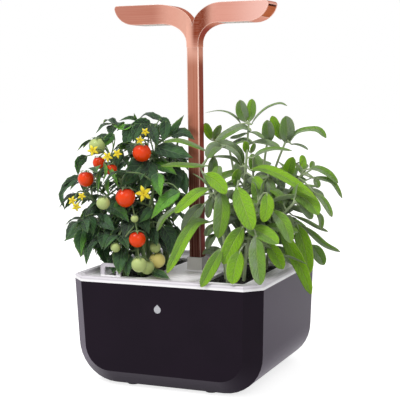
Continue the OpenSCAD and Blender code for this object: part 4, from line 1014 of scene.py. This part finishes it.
def has_room(p, side):
    """Whether a point lies in the plant's own half and in its bush."""
    x, y, z = p
    bush = ((x - side * BUSH_X) / BUSH_W) ** 2 + (y / BUSH_D) ** 2
    bush = math.sqrt(bush + ((z - BUSH_Z) / BUSH_H[side]) ** 2)
    outside = abs(x) > HALF_W + OUTSIDE or abs(y) > HALF_D + OUTSIDE
    low = BESIDE_PLANTER if outside else OVER_DECK
    edge = side * MAST_GAP if y > -MAST_GAP else FRONT_EDGE + side * FRONT_GAP
    if y > CAP_FRONT and z < CAP_TOP:
        edge = side * CAP_GAP
    in_box = abs(x) < REACH_X and abs(y) < REACH_Y and z > low
    return bush < BUSH_SLACK and in_box and side * (x - edge) > 0


def roomy(points, width, side):
    """Whether a leaf has room from its middle to its tip."""
    ends = [np.array(p) for p in points]
    along = unit(ends[-1] - ends[0])
    across = unit(np.cross((0, 0, 1), along)) * width / 2
    return all(has_room(p + across * k, side) for p in ends[1:] for k in (-1, 1))


# %% Sage leaves that follow the rule
def rule_leaf(foot, length, turn, rise, share, bow, front, high, tone, twist, stalk=0.0):
    """One sage leaf of the given length in mm, if it has room. Returns 1 or 0."""
    tip = foot + reach(length, turn, rise)
    bend = (foot + tip) / 2 + (0, 0, bow)
    if tip[1] < front or tip[2] > high or not roomy((foot, bend, tip), share * length, SAGE):
        return 0
    sage_leaves.blade(
        metres(foot + (bend - foot) * stalk, bend, tip), share * length * MM,
        upward(tip - foot), SAGE_OUTLINE, tone, math.radians(twist),
    )
    if stalk:
        knee, end = foot + (bend - foot) * 0.2, foot + (bend - foot) * 0.4
        sage_stalks.stalk(metres(foot, knee, end), 1.1 * MM, 0.6 * MM, 4)
    return 1


PAIRS, INNER = 8, 9
by_rule = inside = 0
for k, shoot in enumerate(SAGE_SHOOTS):
    for j in range(PAIRS):
        up = j / (PAIRS - 1)
        foot = on_shoot(shoot, 0.2 + 0.78 * j / (PAIRS - 1))
        for half in (0, 180):
            wave = sin_of(71 * (j + 3 * k) + half)
            by_rule += rule_leaf(
                foot, length=56 - 30 * up ** 2 + 6 * sin_of(97 * (j + 3 * k) + half / 2),
                turn=90 * j + 47 * k + half,
                rise=-22 + 92 * up ** 1.5 + 8 * sin_of(131 * (j + 5 * k) + half),
                share=0.36, bow=5, front=foot[1] - 4, high=222, tone=0.05 + 0.4 * abs(wave),
                twist=38 * sin_of(151 * (j + 3 * k) + half), stalk=0.3,
            )
# Small leaves inside the plant get a low tone, which paints shade on them in the dark and deep
# colours.
for k, shoot in enumerate(SAGE_SHOOTS):
    for j in range(INNER):
        inside += rule_leaf(
            on_shoot(shoot, 0.16 + 0.66 * j / (INNER - 1)),
            length=30 + 7 * sin_of(83 * (j + 2 * k)), turn=137.5 * j + 50 * k,
            rise=12 + 30 * sin_of(61 * (j + 3 * k)), share=0.4, bow=4, front=-34, high=206,
            tone=-0.2 + 0.2 * abs(sin_of(71 * (j + k))), twist=50 * sin_of(151 * (j + 3 * k)),
        )
draw_shoots(sage_stalks, SAGE_SHOOTS, 1.9 * MM, 1.0 * MM)
print(by_rule, "leaves by rule,", inside, "inside the plant")

sage_leaves.piece(
    "sage_foliage", "right_pod", "sage_leaf", ["sage_leaves"],
    Sides=10, Thickness=0.07, Fold=0.26, Ripple=0.5, Ripple_Scale=45.0,
)
sage_stalks.piece(
    "sage_shoots", "right_pod", "sage_stem", ["sage_stems"], Sides=7, Thickness=1.0
)

# %% [markdown]
# ## The tomato plant
#
# A tomato leaf is compound: a stalk with pairs of toothed leaflets and one
# at its end. The leaflets droop, curl and overlap, which shades the plant's
# middle, and the painted shade at each leaflet's foot darkens it further.
# Fruit in every state hangs at the front on its stalks.

# %% Fruit and flowers, where they hang
RIPE = [
    (-38, -48, 229, 9.2, 3, 0.85), (-94, -62, 203, 8.2, 4, 0.9), (-45, -72, 187, 9.7, 0, 0.6),
    (-33, -72, 146, 8.2, 0, 0.45), (-82, -56, 219, 6.5, 0, 0.9), (-66, -60, 213, 5.5, 0, 0.8),
]
UNRIPE = [
    (-90, -44, 235, 8.7, 0, 0.97), (-67, -77, 181, 6.7, 0, 0.55), (-57, -72, 137, 5.1, 0, 0.4),
    (-27, -44, 134, 5.6, 3, 0.4), (-30, -75, 121.5, 7.7, 0, 0.35),
    (-29.5, -58.5, 116.5, 7.2, 0, 0.3), (-28, -38, 120, 8.2, 3, 0.3),
    (-36, -71, 166, 3.8, 0, 0.6),
]
FLOWERS = [
    (-82, -68, 232, 0, 0.9, 6), (-66, -68, 226, 0, 0.85, 5.5), (-56, -66, 229, 0, 0.9, 5),
    (-32, -52, 250, 3, 0.9, 4.5), (-34, -60, 242, 3, 0.85, 4.5), (-30, -62, 190, 3, 0.7, 8.5),
    (-96, -68, 186, 4, 0.8, 4.5), (-108, -66, 181, 4, 0.95, 5), (-99, -74, 176, 4, 0.85, 5),
]
YELLOW_ONE = 6
tomato_samples = shoot_samples(TOMATO_SHOOTS)
FRONT_FRUIT = RIPE[:4] + UNRIPE[:2] + UNRIPE[4:]
BLOCKERS = [(*shows(np.array(f[:3]) * MM), f[3] + 0.5) for f in FRONT_FRUIT]
BLOCKERS += [(*shows(np.array(f[:3]) * MM), f[5] + 1.0) for f in FLOWERS]
CLEAR = 3  # pixels of the view before a fruit, and mm beside it


def hides_fruit(point):
    """Whether a point stands before fruit or flowers in the view."""
    u, v, far = shows(np.array(point) * MM)
    return any(math.hypot(u - x, v - y) < r + CLEAR and far < z for x, y, z, r in BLOCKERS)


def near_fruit(point):
    """Whether a point in mm would cut into a fruit."""
    return any(np.linalg.norm(np.array(f[:3]) - point) < f[3] + CLEAR for f in RIPE + UNRIPE)


print(len(RIPE), "ripe,", len(UNRIPE), "unripe,", len(FLOWERS), "flowers")

# %% [markdown]
# As with the sage, the leaflets that give the plant its outline are placed
# one by one, and a rule fills in the rest.

# %% Tomato leaflets placed one by one
TOMATO_SEEN = [
    # crown
    (((139, 119), (147, 114), (156, 118), (165, 121), (171, 127)), 6, -14, 0.0, "h"),
    (((160, 119), (166, 122), (171, 128)), 9, -18, 0.1, "b"),
    (((138, 120), (129, 118), (119, 121)), 4.5, -14, 0.15, "b"),
    (((137, 122), (135, 117), (134, 113)), 3, -10, 0.2, "v"),
    (((132, 126), (122, 128), (112, 125)), 7, -34, 0.9, "b"),
    (((151, 126), (141, 123), (129, 126)), 12, -20, 0.1, "v"),
    (((131, 124), (128, 136), (124, 150)), 14, -36, 0.35, "v"),
    (((111, 138), (101, 138), (91, 143)), 7, -40, 0.1, "b"),
    (((114, 134), (108, 140), (102, 148)), 10, -44, 0.55, "v"),
    (((168, 137), (176, 126), (184, 115)), 8, -18, 0.35, "v"),
    (((166, 121), (165, 131), (163, 142)), 13, -26, 0.35, "v"),
    (((171, 136), (183, 133), (195, 140)), 11, -18, 0.1, "b"),
    (((150, 124), (154, 134), (158, 146)), 13, -28, 0.1, "v"),
    (((141, 124), (136, 132), (133, 142)), 12, -34, 0.3, "v"),
    # middle
    (((156, 147), (172, 152), (193, 158)), 19, -22, 0.4, "b"),
    (((151, 161), (163, 167), (177, 175)), 15, -31, 0.75, "b"),
    (((147, 158), (136, 171), (121, 187)), 25, -58, 0.3, "v"),
    (((149, 162), (148, 177), (138, 192)), 19, -56, 0.3, "v"),
    (((158, 173), (158, 184), (161, 197)), 15, -60, 0.85, "v"),
    (((172, 166), (176, 180), (172, 197)), 17, -30, 0.0, "v"),
    (((177, 170), (183, 182), (187, 196)), 14, -26, 0.2, "v"),
    (((180, 192), (165, 202), (151, 219)), 15, -62, 1.0, "b"),
    (((152, 208), (146, 215), (139, 223)), 11, -60, 0.5, "v"),
    (((122, 150), (116, 160), (114, 172)), 12, -54, 0.1, "v"),
    # left side
    (((87, 156), (79, 163), (78, 176)), 10, -46, 0.05, "v"),
    (((81, 177), (70, 183), (62, 195), (65, 210)), 8, -40, 0.3, "l"),
    (((108, 165), (114, 176), (119, 188)), 5, -74, 0.95, "v"),
    (((101, 169), (98, 181), (98, 196)), 5, -72, 0.6, "v"),
    (((108, 178), (107, 187), (109, 196)), 5, -72, 0.7, "v"),
    (((104, 163), (106, 171), (103, 182)), 4, -74, 0.95, "v"),
    (((101, 211), (91, 213), (82, 223)), 12, -56, 0.15, "b"),
    (((92, 225), (79, 231), (64, 241)), 12, -54, 0.35, "b"),
    (((83, 229), (80, 242), (81, 257)), 14, -64, 0.6, "v"),
    (((99, 226), (92, 236), (88, 248)), 19, -52, 0.15, "v"),
    (((101, 217), (107, 223), (115, 231)), 16, -64, 0.4, "v"),
    (((101, 230), (114, 236), (130, 247)), 13, -62, 0.25, "b"),
    (((103, 238), (104, 253), (110, 269)), 14, -58, 0.1, "v"),
    (((109, 206), (119, 212), (129, 222)), 15, -66, 0.5, "b"),
    # low and in front
    (((123, 248), (120, 260), (119, 275)), 17, -76, 0.4, "v"),
    (((129, 255), (127, 265), (128, 277)), 14, -72, 0.25, "v"),
    (((112, 254), (114, 264), (113, 274)), 13, -66, 0.1, "v"),
    (((132, 226), (127, 233), (121, 242)), 14, -60, 0.0, "v"),
    (((150, 228), (154, 236), (157, 246)), 14, -54, 0.0, "v"),
    (((163, 226), (171, 240), (169, 256)), 17, -46, 0.05, "v"),
    (((153, 271), (161, 275), (170, 279)), 8, -68, 0.15, "b"),
    (((140, 262), (148, 270), (162, 278)), 13, -54, 0.1, "b"),
]
tomato_leaves, tomato_stalks = Bunch(), Bunch()
for row in TOMATO_SEEN:
    seen_leaf(tomato_leaves, tomato_stalks, tomato_samples, row, TOMATO_OUTLINE, 0.0008)
print(len(TOMATO_SEEN), "leaflets placed by hand")


# %% [markdown]
# A spray is one compound leaf. Its stalk starts on a shoot, leans outwards
# and droops a little, and carries seven leaflets. Leaflets that would cut
# into fruit or stand before it are left out.

# %% Tomato sprays that follow the rule
rng = random.Random(7)


def spray(foot, tip, length):
    """One compound leaf from foot to tip, in mm."""
    d = tip - foot
    turn = math.degrees(math.atan2(d[1], d[0]))
    rise = math.degrees(math.asin(d[2] / np.linalg.norm(d)))
    bow = (foot + tip) / 2 + (0, 0, 0.08 * length)
    tomato_stalks.stalk(metres(foot, bow, tip), 0.001, 0.0006)
    line = through([foot, bow, tip], 9)
    spots = [(8, 0, -30 + rng.uniform(-16, 10), 0.5)]
    for s, size in ((3, 0.3), (5, 0.42), (7, 0.44)):
        for k in (-1, 1):
            spots.append((s, k * (62 + rng.uniform(-14, 14)), -24 + rng.uniform(-24, 10), size))
    for s, swing, drop, size in spots:
        start = line[s]
        size *= length * rng.uniform(0.8, 1.1)
        end = start + reach(size, turn + swing, rise * 0.5 + drop)
        bend = (start + end) / 2 + (0, 0, size * rng.uniform(0.08, 0.22))
        width = size * rng.uniform(0.5, 0.64)
        path = (start, bend, end)
        if not roomy(path, width, TOMATO) or any(near_fruit(p) or hides_fruit(p) for p in path):
            continue
        face = upward(end - start, (0, 0, 0.01))
        roll = math.radians(rng.uniform(-35, 35))
        tone = min(0.55, max(-0.25, rng.gauss(0.08, 0.2)))
        tomato_leaves.blade(metres(*path), width * MM, face, TOMATO_OUTLINE, tone, roll)


SPRAYS = 10
for k, shoot in enumerate(TOMATO_SHOOTS):
    for j in range(SPRAYS):
        up = j / (SPRAYS - 1)
        length = 66 - 16 * j / (SPRAYS - 1)
        foot = on_shoot(shoot, 0.25 + 0.75 * j / (SPRAYS - 1))
        tip = foot + reach(length * 0.62, 137.5 * j + 71 * k, -24 + 56 * up ** 1.6)
        if roomy((foot, (foot + tip) / 2, tip), 4, TOMATO) and not near_fruit(tip):
            spray(foot, tip, length)
for k, t, tip in ((5, 0.95, (-122, -20, 196)), (0, 0.5, (-78, -62, 144))):
    spray(on_shoot(TOMATO_SHOOTS[k], t), np.array(tip, float), 58)

draw_shoots(tomato_stalks, TOMATO_SHOOTS, 2.3 * MM, 1.1 * MM)
print(len(tomato_leaves.rows) // len(TOMATO_OUTLINE), "leaflets in all")

# %% [markdown]
# A tomato hangs from a bent stalk and wears a star of five narrow sepals
# where the stalk meets the skin. The fruit itself is a ball with a dimple
# at the top and very soft ribs. The flowers use the same growing tree: five
# petals bent back around a small cone.

# %% Fruit stalks, sepals and petals
sepals, petals = Bunch(), Bunch()


def hang(centre, shoot, place, top):
    """A stalk from a shoot to the top of what hangs there. Returns its end."""
    start = on_shoot(TOMATO_SHOOTS[shoot], place)
    end = np.array(centre, float) + (0, 0, top)
    bow = start + (end - start) * 0.6 + (0, 0, 7)
    tomato_stalks.stalk(metres(start, bow, end), 0.0009, 0.0006, 8)
    return end


def star(bunch, centre, axis, length, width, lift, droop, tone, spin):
    """Five blades around an axis, rising by lift and then bending by droop."""
    axis = unit(axis)
    one = unit(np.cross(axis, (0.3, 0.9, 0.1)))
    two = np.cross(axis, one)
    for i in range(5):
        a = 2 * math.pi * (i + spin) / 5
        out = one * math.cos(a) + two * math.sin(a)
        path = metres(
            centre + out * length * 0.08,
            centre + out * length * 0.55 + axis * lift * length,
            centre + out * length + axis * (lift + droop) * length,
        )
        bunch.blade(path, width * MM, axis, BLADE_OUTLINE, tone)


for i, (x, y, z, r, shoot, place) in enumerate(RIPE + UNRIPE):
    end = hang((x, y, z), shoot, place, r * 0.86)
    star(sepals, end, (0, 0, 1), r * 0.95, r * 0.26, 0.16, -0.3, 0.5, 0.3 * i)
for i, (x, y, z, shoot, place, size) in enumerate(FLOWERS):
    end = hang((x, y, z), shoot, place, 0.0)
    axis = unit(TOWARDS * 0.9 + np.array((0.2 * sin_of(90 * i), 0, 0.25 * sin_of(70 * i + 30))))
    star(petals, end, axis, size, size * 0.5, 0.1, -0.18, 0.6, 0.2 * i)
    star(petals, end, axis, size * 0.34, size * 0.2, 0.5, 0.6, 0.1, 0.2 * i + 0.5)
    star(sepals, end - axis * 0.6, axis, size * 0.75, size * 0.16, 0.0, -0.2, 0.5, 0.2 * i + 0.5)
print(len(sepals.edges), "steps of sepals,", len(petals.edges), "of petals")


# %% Fruit
def fruit_mesh(name, fruits, ripeness):
    work = bmesh.new()
    ripe = work.verts.layers.float.new("ripe")
    for i, (x, y, z, r, *_) in enumerate(fruits):
        made = bmesh.ops.create_uvsphere(work, u_segments=32, v_segments=20, radius=1.0)["verts"]
        for vert in made:
            a = math.atan2(vert.co.y, vert.co.x)
            up = vert.co.z
            flat = 1 + 0.012 * math.cos(5 * a + i) * (1 - up * up)
            dimple = 0.16 * max(0.0, up - 0.82) / 0.18
            point = 0.05 * max(0.0, -up - 0.7) / 0.3 if i % 3 == 2 else 0.0
            vert.co = Vector((vert.co.x * flat, vert.co.y * flat, (up - dimple * 0.9 - point) * 0.98))
            vert[ripe] = ripeness(i, up)
        bmesh.ops.transform(
            work, verts=made,
            matrix=Matrix.Translation(Vector((x, y, z)) * MM) @ Matrix.Scale(r * MM, 4),
        )
    for face in work.faces:
        face.smooth = True
    mesh = bpy.data.meshes.new(name)
    work.to_mesh(mesh)
    work.free()
    return mesh


red = fruit_mesh("red_tomatoes", RIPE, lambda i, up: 0.75 - 0.35 * up)
add_piece("red_tomatoes", red, "left_pod", "tomato_red", ["ripe_tomatoes"])
green = fruit_mesh("green_tomatoes", UNRIPE, lambda i, up: 1.0 if i == YELLOW_ONE else 0.05 - 0.1 * up)
add_piece("green_tomatoes", green, "left_pod", "tomato_green", ["unripe_tomatoes"])

# %% The grown pieces of the tomato plant
PETALS = dict(Sides=6, Thickness=0.14, Fold=0.1)
SEPALS = dict(Sides=6, Thickness=0.16, Fold=0.1)
LEAFLETS = dict(Sides=8, Thickness=0.06, Fold=0.22, Ripple=1.0, Ripple_Scale=70.0)
STALKS = dict(Sides=6, Thickness=1.0)
for bunch, name, slot, nodes, inputs in (
    (sepals, "tomato_sepals", "tomato_stem", [], SEPALS),
    (petals, "tomato_petals", "petal_yellow", ["tomato_flowers"], PETALS),
    (tomato_leaves, "tomato_foliage", "tomato_leaf", ["tomato_leaves"], LEAFLETS),
    (tomato_stalks, "tomato_vines", "tomato_stem", ["tomato_stems"], STALKS),
):
    bunch.piece(name, "left_pod", slot, nodes, **inputs)


# %% [markdown]
# ## Loose crumbs on the growing blocks
#
# The blocks are pressed fibre, and crumbs of it lie on top. A second tree
# scatters small stones over the upward faces, turned and sized at random
# from a fixed seed. A crumb has only twenty faces.

# %% The tree of crumbs
def crumb_tree():
    b, (block, density, radius, seed, material) = new_tree(
        "crumbs_on_block", Block="Geometry", Density="Float", Size="Float", Seed="Int",
        Material="Material",
    )

    def random_vector(low, high):
        values = {0: low, 1: high, "Seed": seed}
        return b.node("FunctionNodeRandomValue", {"data_type": "FLOAT_VECTOR"}, values)

    upward_faces = b.node(
        "FunctionNodeCompare", {"data_type": "FLOAT", "operation": "GREATER_THAN"},
        {0: b.axes(b.node("GeometryNodeInputNormal"))[2], 1: 0.9},
    )
    spots = b.node(
        "GeometryNodeDistributePointsOnFaces",
        Mesh=block, Selection=upward_faces, Density=density, Seed=seed,
    )
    crumbs = b.node(
        "GeometryNodeInstanceOnPoints", Points=spots,
        Instance=b.node("GeometryNodeMeshIcoSphere", Radius=radius, Subdivisions=1),
        Rotation=random_vector((0, 0, 0), (6.28, 6.28, 6.28)),
        Scale=random_vector((0.4, 0.4, 0.3), (1.3, 1.1, 0.8)),
    )
    return end_tree(b, crumbs, material)


def rectangle(name, x1, y1, x2, y2, z):
    """A flat mesh of one face that looks up."""
    mesh = bpy.data.meshes.new(name)
    mesh.from_pydata([(x1, y1, z), (x2, y1, z), (x2, y2, z), (x1, y2, z)], [], [(0, 1, 2, 3)])
    return mesh


# %% Crumbs on both blocks
CRUMBS = crumb_tree()
INSET, SUNK = 1.6 * MM, 0.2 * MM
LOOSE = dict(Density=160000.0, Size=1.3 * MM, Seed=3, Material=FINISH["soil_dark"])
for side in ("left", "right"):
    low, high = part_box("growing_block_" + side)
    top = rectangle(
        side + "_block_top",
        low.x + INSET, low.y + INSET, high.x - INSET, high.y - INSET, high.z - SUNK,
    )
    add_piece(side + "_crumbs", run_tree(CRUMBS, top, **LOOSE), side + "_pod", "soil_dark")


# %% [markdown]
# ## Light and floor
#
# A plain studio: a soft key lamp high on the left, a weaker one on the
# right, and an even sky. The floor is pale. Camera and mirror rays see the
# sky as white, which costs the object nothing, and the floor adds a little
# white of its own for those rays, so that it joins the sky and still shows
# the planter's shadow.

# %% World and lamps
def empty_bench(tree):
    """A bench on a tree whose first nodes are taken away."""
    tree.nodes.clear()
    return Bench(tree)


def seeing_rays(b):
    """1 for camera, mirror and transmission rays, and 0 for all other light."""
    rays = b.node("ShaderNodeLightPath")
    mirror, through_it = rays.other("Is Glossy Ray"), rays.other("Is Transmission Ray")
    return rays.other("Is Camera Ray").larger(mirror).larger(through_it)


def grey(level):
    return (level, level, level, 1)


SKY, GLOW = 0.6, 0.76
world = bpy.data.worlds.new("studio")
world.use_nodes = True
bpy.context.scene.world = world
b = empty_bench(world.node_tree)
sky = b.node("ShaderNodeBackground", Color=grey(1), Strength=seeing_rays(b) * (1 - SKY) + SKY)
b.node("ShaderNodeOutputWorld", Surface=sky)


AIM = Vector((0, 0, 0.15))


def lamp(name, place, size, watts):
    """A round lamp that is turned to the middle of the garden."""
    data = bpy.data.lights.new(name, "AREA")
    data.shape, data.size, data.energy = "DISK", size, watts
    light = stand(name, data)
    light.location = place
    light.rotation_euler = (AIM - Vector(place)).to_track_quat("-Z", "Y").to_euler()


lamp("key", (-0.6, -0.9, 1.6), 0.7, 18)
lamp("fill", (0.9, -1.2, 1.2), 0.9, 6)
print("sky", SKY, "for plain light and 1 for what the camera sees")

# %% Floor
FLOOR_HALF = 6
floor_mesh = rectangle("floor", -FLOOR_HALF, -FLOOR_HALF, FLOOR_HALF, FLOOR_HALF, 0)
floor = stand("floor", floor_mesh)
pale = bpy.data.materials.new("pale_floor")
pale.use_nodes = True
b = empty_bench(pale.node_tree)
paper = b.mix(b.node("ShaderNodeTexNoise", Scale=8.0), grey(0.6), grey(0.62))
matt = b.node("ShaderNodeBsdfDiffuse", Color=paper)
glow = b.node("ShaderNodeEmission", Color=grey(1), Strength=seeing_rays(b) * GLOW)
both = b.node("ShaderNodeAddShader", None, {0: matt, 1: glow})
b.node("ShaderNodeOutputMaterial", Surface=both)
floor_mesh.materials.append(pale)

bpy.context.scene.view_settings.view_transform = "Standard"
